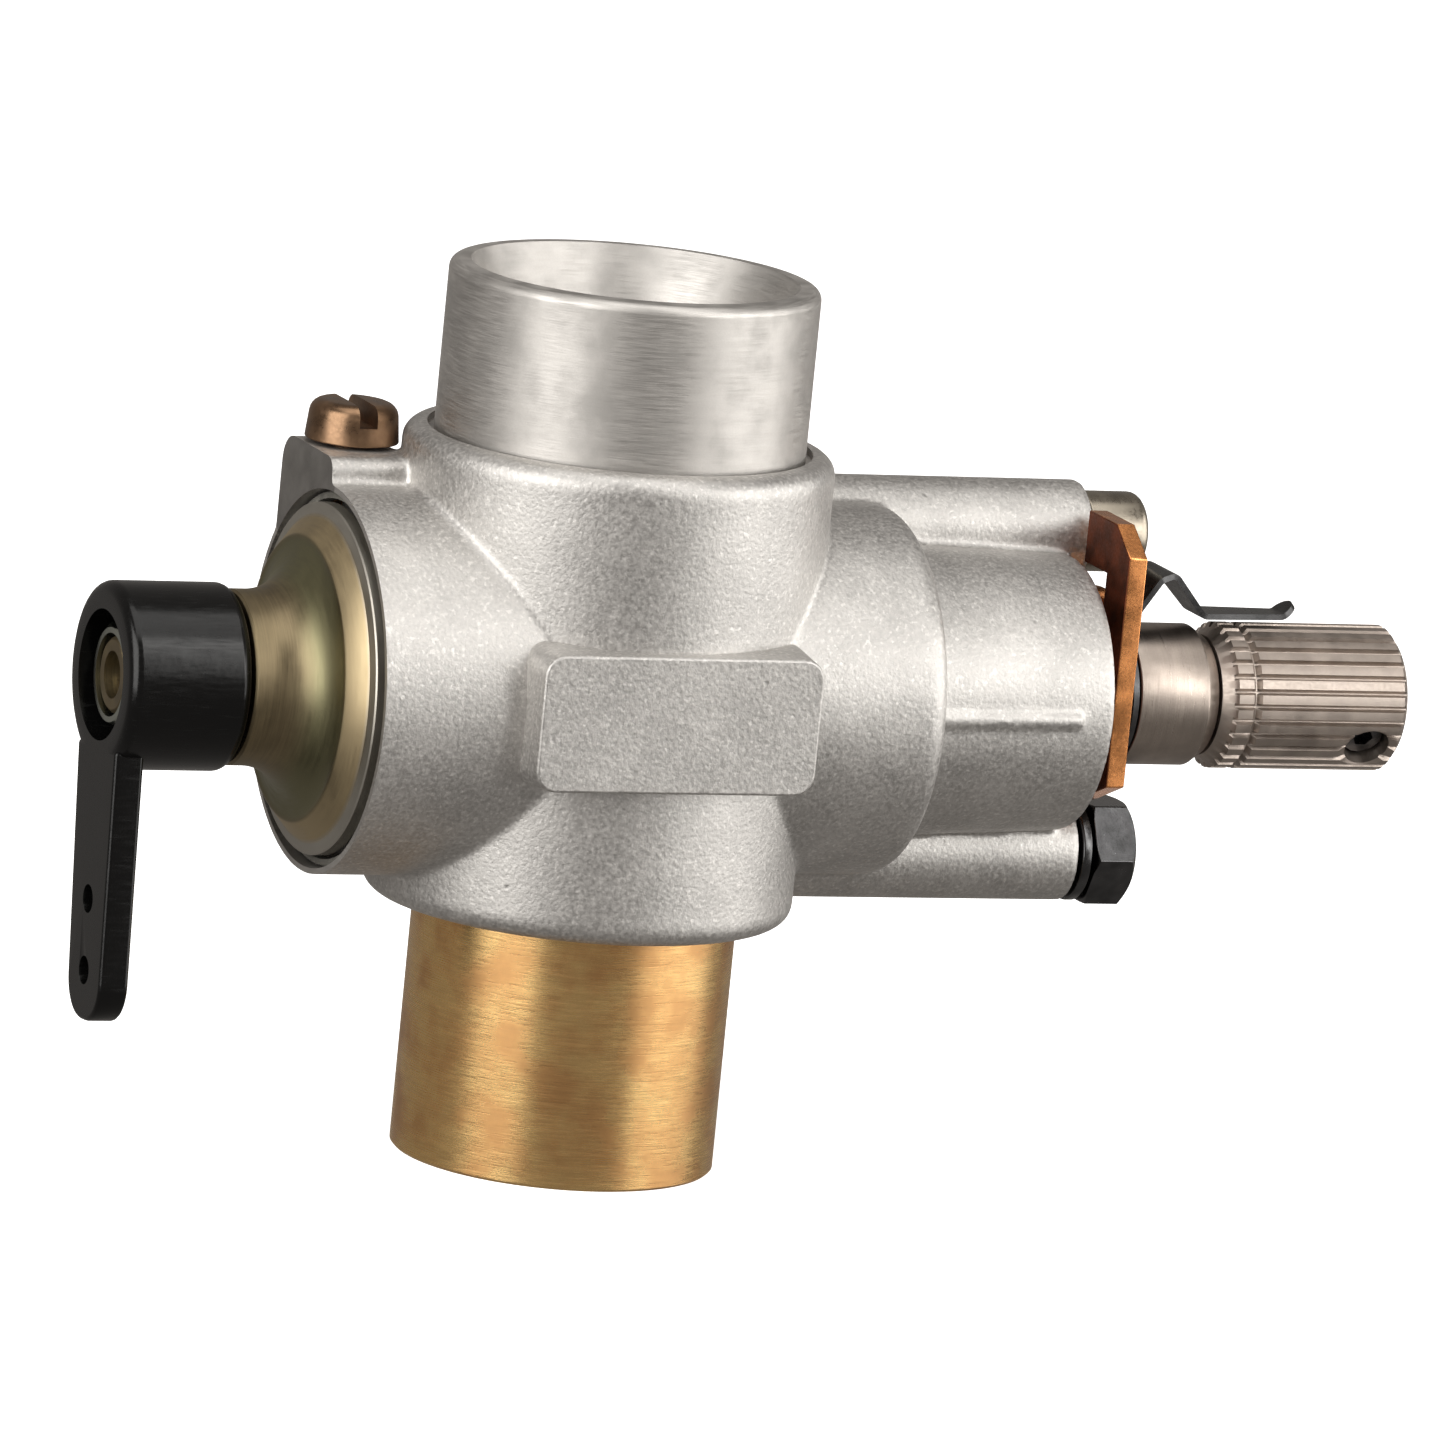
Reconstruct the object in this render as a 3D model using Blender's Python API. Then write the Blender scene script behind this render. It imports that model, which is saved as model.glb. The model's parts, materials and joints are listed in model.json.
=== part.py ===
"""Barrel carburettor of a model glow engine, built as separate pieces.

The design frame stands where the intake axis crosses the rotor axis: +X runs along the rotor
towards the needle valve, +Z up the intake, and -Y is the front. The empty carburettor_centre
carries that frame, so that the whole stands on z = 0, centred on x = 0 and y = 0.
"""

import math

import bmesh
import bpy
from mathutils import Vector

MM = 0.001

# Clearances
GAP = 0.15 * MM  # between faces that seat on each other
RUNNING_GAP = 0.2 * MM  # round a shaft in its bore
SEAL_GAP = 0.1 * MM
OVER = 1.0 * MM  # how far a cutter stands past the face it cuts

# Rotor housing, along X: its walls stand round the rotor, its ends past the intake tower
HOUSING_OVERHANG = 3.45 * MM
HOUSING_STEP = 0.3 * MM
HOUSING_EDGE = 0.2 * MM
BARREL_WALL = 1.2 * MM
BARREL_OVERHANG = 3.85 * MM
BARREL_END_WALL = 1.7 * MM
MOUTH_DEPTH = 1.7 * MM
MOUTH_WALL = 0.25 * MM
NEEDLE_END_LENGTH = 8.4 * MM
NEEDLE_END_RADIUS = 5.9 * MM
NEEDLE_END_DRAFT = 0.35 * MM
NEEDLE_END_EDGE = 0.3 * MM
RIB_SHORT = 1.6 * MM
RIB_RADIUS = 0.85 * MM
RIB_TIP_RADIUS = 0.3 * MM

# Intake tower, along Z
SHOULDER_RISE = 2.4 * MM
SHOULDER_WIDTH = 1.3 * MM
SKIRT_DROP = 1.2 * MM
SKIRT_WALL = 2.12 * MM
CAST_ROUND = 0.8 * MM
RIM_ROUND = 0.45 * MM
COLLAR_HEIGHT = 7.05 * MM
COLLAR_LAND = 0.9 * MM
THROAT_RADIUS = 4.8 * MM
FUNNEL_DEPTH = 6.3 * MM
COLLAR_GROOVE = 0.3 * MM
FUNNEL_CURVE = 1.4

# Spigot tube, pressed up into the skirt
SPIGOT_RADIUS = 6.88 * MM
SPIGOT_WALL = 0.9 * MM
SPIGOT_REACH = 11.0 * MM
SPIGOT_SEAT_WALL = 0.5 * MM

# Pad on the front, left blank
PAD_WIDTH = 13.2 * MM
PAD_HEIGHT = 6.5 * MM
PAD_RISE = 0.6 * MM
PAD_CENTRE_Z = 0.3 * MM
PAD_SLOPE = 0.35 * MM
PAD_CORNER = 0.9 * MM

# Ear that holds the rotor guide screw
EAR_LENGTH = 3.65 * MM
EAR_INSET = 0.05 * MM
EAR_FRONT = 0.4 * MM
EAR_DEPTH = 6.0 * MM
EAR_RISE = 1.1 * MM
EAR_CORNER = 1.2 * MM
GUIDE_INSET = 2.1 * MM
GUIDE_Y = 4.0 * MM
GUIDE_HEAD_RADIUS = 2.0 * MM
GUIDE_HEAD_HEIGHT = 1.7 * MM
GUIDE_HEAD_TAPER = 0.16 * MM
GUIDE_HEAD_ROUND = 0.6 * MM
GUIDE_SLOT = 0.8 * MM
GUIDE_SLOT_DEPTH = 0.9 * MM
GUIDE_SPOT_FACE = 0.05 * MM
GUIDE_SHANK_RADIUS = 1.0 * MM
GUIDE_SHANK_LENGTH = 2.1 * MM
GUIDE_PIN_RADIUS = 0.6 * MM
GUIDE_ENGAGEMENT = 1.05 * MM

# Bosses behind the needle end
TOP_BOSS = (3.0 * MM, 6.45 * MM)
LOW_BOSS = (1.0 * MM, -7.1 * MM)
BOSS_RADIUS = 2.2 * MM
BOSS_PROUD = 1.2 * MM
BOSS_ROUND = 0.4 * MM
PIN_HEAD_RADIUS = 1.74 * MM
PIN_HEAD_LENGTH = 2.75 * MM
PIN_HEAD_ROUND = 0.5 * MM
PIN_STEM_RADIUS = 1.2 * MM
PIN_STEM_LENGTH = 3.0 * MM
PLUG_FLATS = 4.3 * MM
PLUG_HEAD_LENGTH = 1.9 * MM
PLUG_STEM_RADIUS = 1.3 * MM
PLUG_STEM_LENGTH = 4.0 * MM
PLUG_WASHER = 0.45 * MM

# Throttle rotor
ROTOR_RADIUS = 6.5 * MM
ROTOR_END_ROOM = 1.1 * MM
ROTOR_BORE_STEP = 0.2 * MM
ROTOR_REST_ANGLE = math.radians(42)
FLANGE_ROOM = 0.55 * MM
FLANGE_THICKNESS = 0.55 * MM
FLANGE_PROUD = 0.15 * MM
FLANGE_LAND = 0.35 * MM
FLANGE_LAND_RISE = 0.1 * MM
FLANGE_BEVEL_WIDTH = 1.4 * MM
FLANGE_BEVEL_LENGTH = 0.85 * MM
NECK_RADIUS = 3.7 * MM
NECK_PLAIN = 0.2 * MM
STUD_RADIUS = 1.6 * MM
STUD_INSET = 0.5 * MM
SEAL_CHAMBER_RADIUS = 1.5 * MM
SEAL_CHAMBER_INSET = 1.1 * MM
SEAL_CHAMBER_LENGTH = 3.6 * MM
SPRING_ROOM = 0.75 * MM
SPRING_POCKET_DEPTH = 3.2 * MM
THROTTLE_SWING = math.radians(42)
THROTTLE_LEAD = 0.8 * MM  # axial travel for each radian turned
GROOVE_SPREAD = math.radians(8)
DUST_SEAL_THICKNESS = 0.4 * MM

# Rotor spring
SPRING_RADIUS = 3.3 * MM
SPRING_WIRE = 0.35 * MM
SPRING_TURNS = 3

# Throttle lever
NECK_LENGTH = 4.2 * MM
HUB_LENGTH = 5.4 * MM
HUB_WALL = 1.2 * MM
HUB_ROUND = 0.5 * MM
RECESS_DEPTH = 1.35 * MM
ARM_THICKNESS = 1.3 * MM
ARM_TOP_WIDTH = 4.7 * MM
ARM_TIP_WIDTH = 3.9 * MM
ARM_TIP_ROUND = 1.755 * MM
ARM_ROOT_INSET = 0.2 * MM
ARM_LENGTH = 14.5 * MM
ARM_HOLE_RADIUS = 0.6 * MM
ARM_HOLES = (9.4 * MM, 12.4 * MM)
LEVER_REST_TILT = math.radians(-5.4)
NUT_WALL = 0.25 * MM
NUT_ROOM = 0.44 * MM
NUT_THICKNESS = 0.8 * MM

# Idle needle
IDLE_RADIUS = 0.8 * MM
IDLE_THIN_RADIUS = 0.45 * MM
IDLE_TIP_RADIUS = 0.15 * MM
IDLE_TIP_TAPER = 1.3 * MM
IDLE_TIP_STANDOFF = 0.7 * MM
IDLE_HEAD_INSET = 0.6 * MM
IDLE_SLOT = 0.35 * MM
IDLE_SLOT_DEPTH = 0.7 * MM

# Spray nozzle and needle valve
NOZZLE_MOUTH = -0.2 * MM
NOZZLE_RADIUS = 1.25 * MM
NOZZLE_BORE = 0.65 * MM
NOZZLE_TIP_INSET = 0.3 * MM
NOZZLE_TIP_LENGTH = 0.8 * MM
NOZZLE_FLANGE_THICKNESS = 0.9 * MM
END_WALL = 1.9 * MM
GASKET_THICKNESS = 0.4 * MM
HOLDER_THREAD_RADIUS = 2.35 * MM
HOLDER_THREAD_STEP = 0.7 * MM
HOLDER_FUEL_GROOVE = (1.6 * MM, 0.5 * MM)
HOLDER_SHOULDER_LENGTH = 3.2 * MM
HOLDER_CHAMFER = (0.65 * MM, 0.45 * MM)
HOLDER_SEAT_LENGTH = 1.2 * MM
HOLDER_SEAT_RADIUS = 0.6 * MM
HOLDER_THREAD_BORE = 1.05 * MM
HOLDER_SEAL_BORE = 1.55 * MM
HOLDER_SEAL_BORE_DEPTH = 5.6 * MM
FUEL_PORT_RADIUS = 0.5 * MM
PLATE_THICKNESS = 0.85 * MM
PLATE_FRONT = 4.15 * MM
PLATE_TO_BOSS = 0.31 * MM
PLATE_TOP = 7.85 * MM
PLATE_CHAMFER = (1.7 * MM, 1.15 * MM)
PLATE_LOW_CORNER = 3.25 * MM
PLATE_NOTCH = (-1.9 * MM, 5.6 * MM)
GASKET_INSET = 0.6 * MM
WASHER_INSET = 0.05 * MM
WASHER_THICKNESS = 0.35 * MM
LEAF_THICKNESS = 0.25 * MM
LEAF_WIDTH = 3.0 * MM
LEAF_CREST = (2.1 * MM, 5.45 * MM)
LEAF_CREST_FLAT = 0.6 * MM
LEAF_CREST_RISE = 0.15 * MM
LEAF_FOOT_RISE = 0.2 * MM
LEAF_RUN_START = 3.85 * MM
LEAF_RUN_END = 7.7 * MM
LEAF_TONGUE = (0.65 * MM, 0.5 * MM)
KNOB_RADIUS = 3.15 * MM
KNURL_DEPTH = 0.2 * MM
KNURL_RUN_OUT = 0.3 * MM
KNOB_TEETH = 30
KNOB_LENGTH = 8.65 * MM
KNOB_CONE = (0.55 * MM, 0.55 * MM)
KNOB_END_CHAMFER = (0.35 * MM, 0.35 * MM)
KNOB_COLLAR = 0.9 * MM
KNOB_END_BORE = 0.95 * MM
KNOB_END_BORE_DEPTH = 4.2 * MM
NEEDLE_RADIUS = 0.75 * MM
NEEDLE_TIP_RADIUS = 0.1 * MM
NEEDLE_TAPER = 1.8 * MM
NEEDLE_TIP_IN_SEAT = 1.0 * MM
NEEDLE_SEAL_INSET = 3.6 * MM
SEAL_WIDTH = 0.8 * MM
SEAL_GROOVE_RADIUS = 0.5 * MM
SET_SCREW_FROM_END = 1.55 * MM
SET_SCREW_RADIUS = 0.85 * MM
SET_SCREW_ANGLE = math.radians(35)
SET_SCREW_INSET = 0.75 * MM
SET_SCREW_FLATS = 0.8 * MM
SET_SCREW_SOCKET_DEPTH = 0.5 * MM

# Fuel inlet, at the back
INLET_INSET = 3.8 * MM
INLET_BOSS_RADIUS = 2.6 * MM
INLET_BOSS_PROUD = 1.3 * MM
INLET_STEM_RADIUS = 1.5 * MM
INLET_STEM_LENGTH = 3.8 * MM
INLET_FLATS = 4.5 * MM
INLET_COLLAR = 1.3 * MM
INLET_TUBE_RADIUS = 1.25 * MM
INLET_BARB_RADIUS = 1.6 * MM
INLET_BARB_LENGTH = 1.3 * MM
INLET_TUBE_LENGTH = 3.9 * MM
INLET_BORE = 0.7 * MM

# What follows from the sizes above
BORE_RADIUS = ROTOR_RADIUS + RUNNING_GAP
BARREL_RADIUS = BORE_RADIUS + BARREL_WALL
HOUSING_RADIUS = BARREL_RADIUS + HOUSING_STEP
TOWER_RADIUS = SPIGOT_RADIUS + GAP + SKIRT_WALL
COLLAR_RADIUS = TOWER_RADIUS - SHOULDER_WIDTH
SHOULDER_HEIGHT = HOUSING_RADIUS + SHOULDER_RISE
SKIRT_DEPTH = HOUSING_RADIUS + SKIRT_DROP
SPIGOT_SEAT = SKIRT_DEPTH - BORE_RADIUS - SPIGOT_SEAT_WALL
RIM_HEIGHT = SHOULDER_HEIGHT + COLLAR_HEIGHT
SPIGOT_LOW = -SKIRT_DEPTH - SPIGOT_REACH
PAD_FRONT = TOWER_RADIUS + PAD_RISE
HOUSING_LEFT = -TOWER_RADIUS - HOUSING_OVERHANG
BARREL_RIGHT = TOWER_RADIUS + BARREL_OVERHANG
BORE_FLOOR = BARREL_RIGHT - BARREL_END_WALL
NEEDLE_END_RIGHT = BARREL_RIGHT + NEEDLE_END_LENGTH
MOUTH_RADIUS = HOUSING_RADIUS - MOUTH_WALL
MOUTH_FLOOR = HOUSING_LEFT + MOUTH_DEPTH
EAR_TOP = HOUSING_RADIUS + EAR_RISE
GUIDE_X = HOUSING_LEFT + GUIDE_INSET
BOSS_RIGHT = NEEDLE_END_RIGHT + BOSS_PROUD
ROTOR_RIGHT = BORE_FLOOR - ROTOR_END_ROOM
ROTOR_BORE_RADIUS = THROAT_RADIUS - ROTOR_BORE_STEP
FLANGE_RADIUS = MOUTH_RADIUS - FLANGE_ROOM
FLANGE_LEFT = HOUSING_LEFT - FLANGE_PROUD
FLANGE_RIGHT = FLANGE_LEFT + FLANGE_THICKNESS
FLANGE_BEVEL_INNER = FLANGE_RADIUS - FLANGE_BEVEL_WIDTH
BEVEL_LEFT = FLANGE_LEFT - FLANGE_BEVEL_LENGTH
HUB_RIGHT = HOUSING_LEFT - NECK_LENGTH
LEVER_LEFT = HUB_RIGHT - HUB_LENGTH
NECK_LEFT = HUB_RIGHT + GAP
COVE_RADIUS = min(FLANGE_BEVEL_INNER - NECK_RADIUS, BEVEL_LEFT - NECK_LEFT - NECK_PLAIN)
STUD_LEFT = LEVER_LEFT + STUD_INSET
STUD_BORE = IDLE_RADIUS + RUNNING_GAP
SEAL_CHAMBER_LEFT = HOUSING_LEFT + SEAL_CHAMBER_INSET
SEAL_CHAMBER_RIGHT = SEAL_CHAMBER_LEFT + SEAL_CHAMBER_LENGTH
IDLE_SEAL_X = (SEAL_CHAMBER_LEFT + SEAL_CHAMBER_RIGHT) / 2
IDLE_TIP = NOZZLE_MOUTH - IDLE_TIP_STANDOFF
SPRING_POCKET_RADIUS = SPRING_RADIUS + SPRING_WIRE + SPRING_ROOM
POCKET_FLOOR = ROTOR_RIGHT - SPRING_POCKET_DEPTH
NUT_FLATS = 2 * (STUD_RADIUS + GAP + NUT_WALL)
RECESS_RADIUS = NUT_FLATS / 2 / math.cos(math.radians(30)) + NUT_ROOM
RECESS_FLOOR = LEVER_LEFT + RECESS_DEPTH
HUB_RADIUS = RECESS_RADIUS + HUB_WALL
HOLDER_RADIUS = HOLDER_THREAD_RADIUS + HOLDER_THREAD_STEP
HOLDER_BORE_RADIUS = HOLDER_THREAD_RADIUS + RUNNING_GAP
WASHER_RADIUS = HOLDER_RADIUS - WASHER_INSET
PLATE_ROUND = math.hypot(*TOP_BOSS) - BOSS_RADIUS - PLATE_TO_BOSS
NOZZLE_SEAT = BORE_FLOOR + END_WALL
NOZZLE_FLANGE_RADIUS = HOLDER_BORE_RADIUS - RUNNING_GAP
NOZZLE_FLANGE_LEFT = NOZZLE_SEAT + GAP + GASKET_THICKNESS + GAP
NOZZLE_RIGHT = NOZZLE_FLANGE_LEFT + NOZZLE_FLANGE_THICKNESS
HOLDER_LEFT = NOZZLE_RIGHT + 2 * GAP
PLATE_LEFT = NEEDLE_END_RIGHT + GAP + GASKET_THICKNESS + GAP
PLATE_RIGHT = PLATE_LEFT + PLATE_THICKNESS
WASHER_LEFT = PLATE_RIGHT + SEAL_GAP
LEAF_LEFT = WASHER_LEFT + WASHER_THICKNESS + SEAL_GAP
LEAF_RIGHT = LEAF_LEFT + LEAF_THICKNESS
SHOULDER_LEFT = LEAF_RIGHT + SEAL_GAP
SHOULDER_RIGHT = SHOULDER_LEFT + HOLDER_SHOULDER_LENGTH
HOLDER_RIGHT = SHOULDER_RIGHT + HOLDER_CHAMFER[0]
SEAT_RIGHT = HOLDER_LEFT + HOLDER_SEAT_LENGTH
KNOB_ROOT_RADIUS = KNOB_RADIUS - KNURL_DEPTH
KNOB_LEFT = HOLDER_RIGHT + GAP
KNOB_RIGHT = KNOB_LEFT + KNOB_LENGTH
NEEDLE_TIP = SEAT_RIGHT - NEEDLE_TIP_IN_SEAT
NEEDLE_SEAL_X = HOLDER_RIGHT - NEEDLE_SEAL_INSET
INLET_X = NEEDLE_END_RIGHT - INLET_INSET
INLET_BOSS_REACH = NEEDLE_END_RADIUS + INLET_BOSS_PROUD
INLET_BACK = INLET_BOSS_REACH + 2 * GAP + GASKET_THICKNESS + INLET_COLLAR + INLET_TUBE_LENGTH
SEGMENTS = 48
SMALL_SEGMENTS = 20


def rounded(corners, steps=2):
    """Closed outline through (u, v, radius) corners, each with an arc of its own radius."""
    outline = []
    for i, (u, v, radius) in enumerate(corners):
        here = Vector((u, v))
        if radius <= 0:
            outline.append((u, v))
            continue
        back = (Vector(corners[i - 1][:2]) - here).normalized()
        ahead = (Vector(corners[(i + 1) % len(corners)][:2]) - here).normalized()
        half = back.angle(ahead) / 2
        centre = here + (back + ahead).normalized() * (radius / math.sin(half))
        start = here + back * (radius / math.tan(half)) - centre
        end = here + ahead * (radius / math.tan(half)) - centre
        first = math.atan2(start.y, start.x)
        turn = math.atan2(start.x * end.y - start.y * end.x, start.dot(end))
        for k in range(steps + 1):
            angle = first + turn * k / steps
            outline.append((centre.x + radius * math.cos(angle), centre.y + radius * math.sin(angle)))
    return outline


def arc(centre, radius, first, last, steps):
    """Points (u, v) along an arc, angles in degrees."""
    angles = [math.radians(first + (last - first) * k / steps) for k in range(steps + 1)]
    return [(centre[0] + radius * math.cos(a), centre[1] + radius * math.sin(a)) for a in angles]


def add_object(name, bm, hidden=False):
    bmesh.ops.recalc_face_normals(bm, faces=bm.faces)
    mesh = bpy.data.meshes.new(name)
    bm.to_mesh(mesh)
    bm.free()
    mesh.shade_smooth()
    mesh.set_sharp_from_angle(angle=math.radians(35))
    obj = bpy.data.objects.new(name, mesh)
    bpy.context.collection.objects.link(obj)
    obj.parent = bpy.data.objects["carburettor_centre"]
    if hidden:
        obj.hide_render = True
        obj.display_type = "WIRE"
    return obj


ALONG = {
    "X": lambda t, a, b: (t, a, b),
    "Y": lambda t, a, b: (b, t, a),
    "Z": lambda t, a, b: (a, b, t),
}


def turned(name, outline, axis="X", centre=(0, 0), segments=SEGMENTS, hidden=False, tooth=None):
    """A solid of revolution: outline is a closed loop of (along, radius), tooth gives knurling."""
    bm = bmesh.new()
    rings = []
    for along, radius in outline:
        count = 1 if radius <= 1e-9 else segments
        ring = []
        for k in range(count):
            angle = 2 * math.pi * k / segments
            reach = radius if tooth is None else tooth(along, radius, k)
            a = centre[0] + reach * math.cos(angle)
            b = centre[1] + reach * math.sin(angle)
            ring.append(bm.verts.new(ALONG[axis](along, a, b)))
        rings.append(ring)
    for i, ring in enumerate(rings):
        other = rings[(i + 1) % len(rings)]
        if len(ring) == 1 and len(other) == 1:
            continue
        for k in range(segments):
            corners = [ring[k % len(ring)], ring[(k + 1) % len(ring)]]
            corners += [other[(k + 1) % len(other)], other[k % len(other)]]
            bm.faces.new(list(dict.fromkeys(corners)))
    return add_object(name, bm, hidden)


def prism(name, outline, low, high, axis="X", hidden=False, taper=0.0):
    """An outline of (a, b) points drawn along an axis; taper draws the high end in."""
    bm = bmesh.new()
    middle = Vector((sum(a for a, b in outline), sum(b for a, b in outline))) / len(outline)
    near = [bm.verts.new(ALONG[axis](low, a, b)) for a, b in outline]
    far = []
    for a, b in outline:
        point = Vector((a, b)) - middle
        sides = [abs(c) - taper for c in point]
        a2, b2 = (math.copysign(max(s, 0), c) for s, c in zip(sides, point))
        far.append(bm.verts.new(ALONG[axis](high, middle.x + a2, middle.y + b2)))
    bm.faces.new(near)
    bm.faces.new(list(reversed(far)))
    for k in range(len(outline)):
        n = (k + 1) % len(outline)
        bm.faces.new([near[n], near[k], far[k], far[n]])
    return add_object(name, bm, hidden)


def rod(name, axis, centre, radius, low, high, segments=SMALL_SEGMENTS, end_radius=None):
    """A plain hidden cylinder or cone, for joining to or cutting from a piece."""
    last = radius if end_radius is None else end_radius
    outline = [(low, 0), (low, radius), (high, last), (high, 0)]
    return turned(name, outline, axis, centre, segments, hidden=True)


def hexagon(flats, centre=(0, 0), turn=0.0):
    reach = flats / 2 / math.cos(math.radians(30))
    angles = [turn + math.radians(60 * k) for k in range(6)]
    return [(centre[0] + reach * math.cos(a), centre[1] + reach * math.sin(a)) for a in angles]


def boolean(target, other, operation, solver):
    modifier = target.modifiers.new(f"{operation.lower()}_{other.name}", "BOOLEAN")
    modifier.operation = operation
    modifier.object = other
    modifier.solver = solver


def join(target, *others, solver="EXACT"):
    for other in others:
        boolean(target, other, "UNION", solver)


def cut(target, *others, solver="EXACT"):
    for other in others:
        boolean(target, other, "DIFFERENCE", solver)


def ring_outline(low, high, inner, outer):
    return [(low, inner), (low, outer), (high, outer), (high, inner)]


def finish(obj, name, colour, roughness, metallic):
    """Gives a piece its own material."""
    material = bpy.data.materials.new(name)
    material.use_nodes = True
    shader = material.node_tree.nodes["Principled BSDF"]
    shader.inputs["Base Color"].default_value = (*colour, 1)
    shader.inputs["Roughness"].default_value = roughness
    shader.inputs["Metallic"].default_value = metallic
    obj.data.materials.append(material)


def clear_scene():
    for obj in list(bpy.data.objects):
        bpy.data.objects.remove(obj)


def place_centre():
    """The empty at the intake and rotor axes' crossing, which every piece hangs from."""
    centre = bpy.data.objects.new("carburettor_centre", None)
    centre.location = (
        -(LEVER_LEFT + KNOB_RIGHT) / 2,
        -(INLET_BACK - PAD_FRONT) / 2,
        -SPIGOT_LOW,
    )
    bpy.context.collection.objects.link(centre)


def cast_shapes():
    """The outer shapes that the casting is joined from."""
    barrel = turned(
        "barrel_shape",
        rounded(
            [
                (HOUSING_LEFT, 0, 0),
                (HOUSING_LEFT, HOUSING_RADIUS, HOUSING_EDGE),
                (0, HOUSING_RADIUS, 0),
                (0, BARREL_RADIUS, 0),
                (BARREL_RIGHT, BARREL_RADIUS, CAST_ROUND),
                (BARREL_RIGHT, 0, 0),
            ]
        ),
        hidden=True,
    )
    root_radius = NEEDLE_END_RADIUS + NEEDLE_END_DRAFT
    needle_end = turned(
        "needle_end_shape",
        rounded(
            [
                (OVER, 0, 0),
                (OVER, root_radius, 0),
                (BARREL_RIGHT, root_radius, 0),
                (NEEDLE_END_RIGHT, NEEDLE_END_RADIUS, NEEDLE_END_EDGE),
                (NEEDLE_END_RIGHT, 0, 0),
            ]
        ),
        segments=36,
        hidden=True,
    )
    rib_right = NEEDLE_END_RIGHT - RIB_SHORT
    rib = rod("rib_shape", "X", (-NEEDLE_END_RADIUS, 0), RIB_RADIUS, 3 * OVER, rib_right, 12, RIB_TIP_RADIUS)
    bosses = []
    for name, centre in (("top_boss_shape", TOP_BOSS), ("low_boss_shape", LOW_BOSS)):
        outline = rounded(
            [
                (2 * OVER, 0, 0),
                (2 * OVER, BOSS_RADIUS, 0),
                (BOSS_RIGHT, BOSS_RADIUS, BOSS_ROUND),
                (BOSS_RIGHT, 0, 0),
            ]
        )
        bosses.append(turned(name, outline, "X", centre, SMALL_SEGMENTS, hidden=True))
    back = EAR_FRONT + EAR_DEPTH
    ear_outline = rounded(
        [
            (EAR_FRONT, ROTOR_RADIUS / 2, 0),
            (back, ROTOR_RADIUS / 2, 0),
            (back, EAR_TOP, EAR_CORNER),
            (EAR_FRONT, EAR_TOP, EAR_CORNER / 2),
        ]
    )
    ear = prism("ear_shape", ear_outline, HOUSING_LEFT + EAR_INSET, HOUSING_LEFT + EAR_LENGTH, hidden=True)
    half_width = PAD_WIDTH / 2
    low = PAD_CENTRE_Z - PAD_HEIGHT / 2
    high = PAD_CENTRE_Z + PAD_HEIGHT / 2
    pad_corners = [(low, -half_width), (low, half_width), (high, half_width), (high, -half_width)]
    pad_outline = rounded([(z, x, PAD_CORNER) for z, x in pad_corners])
    pad = prism("pad_shape", pad_outline, -TOWER_RADIUS / 2, -PAD_FRONT, "Y", hidden=True, taper=PAD_SLOPE)
    inlet = rod("inlet_boss_shape", "Y", (0, INLET_X), INLET_BOSS_RADIUS, 0, INLET_BOSS_REACH)
    return [barrel, needle_end, rib, *bosses, ear, pad, inlet]


def funnel_outline():
    """The air passage's inner outline, from the rim down past the rotor."""
    steps = 6
    mouth = COLLAR_RADIUS - COLLAR_LAND
    floor = RIM_HEIGHT - FUNNEL_DEPTH
    outline = [(RIM_HEIGHT + OVER, 0), (RIM_HEIGHT + OVER, mouth)]
    for k in range(steps + 1):
        t = 1 - k / steps
        outline.append((floor + FUNNEL_DEPTH * t, THROAT_RADIUS + (mouth - THROAT_RADIUS) * t**FUNNEL_CURVE))
    outline += [(-SKIRT_DEPTH - OVER, THROAT_RADIUS), (-SKIRT_DEPTH - OVER, 0)]
    return outline


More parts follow.
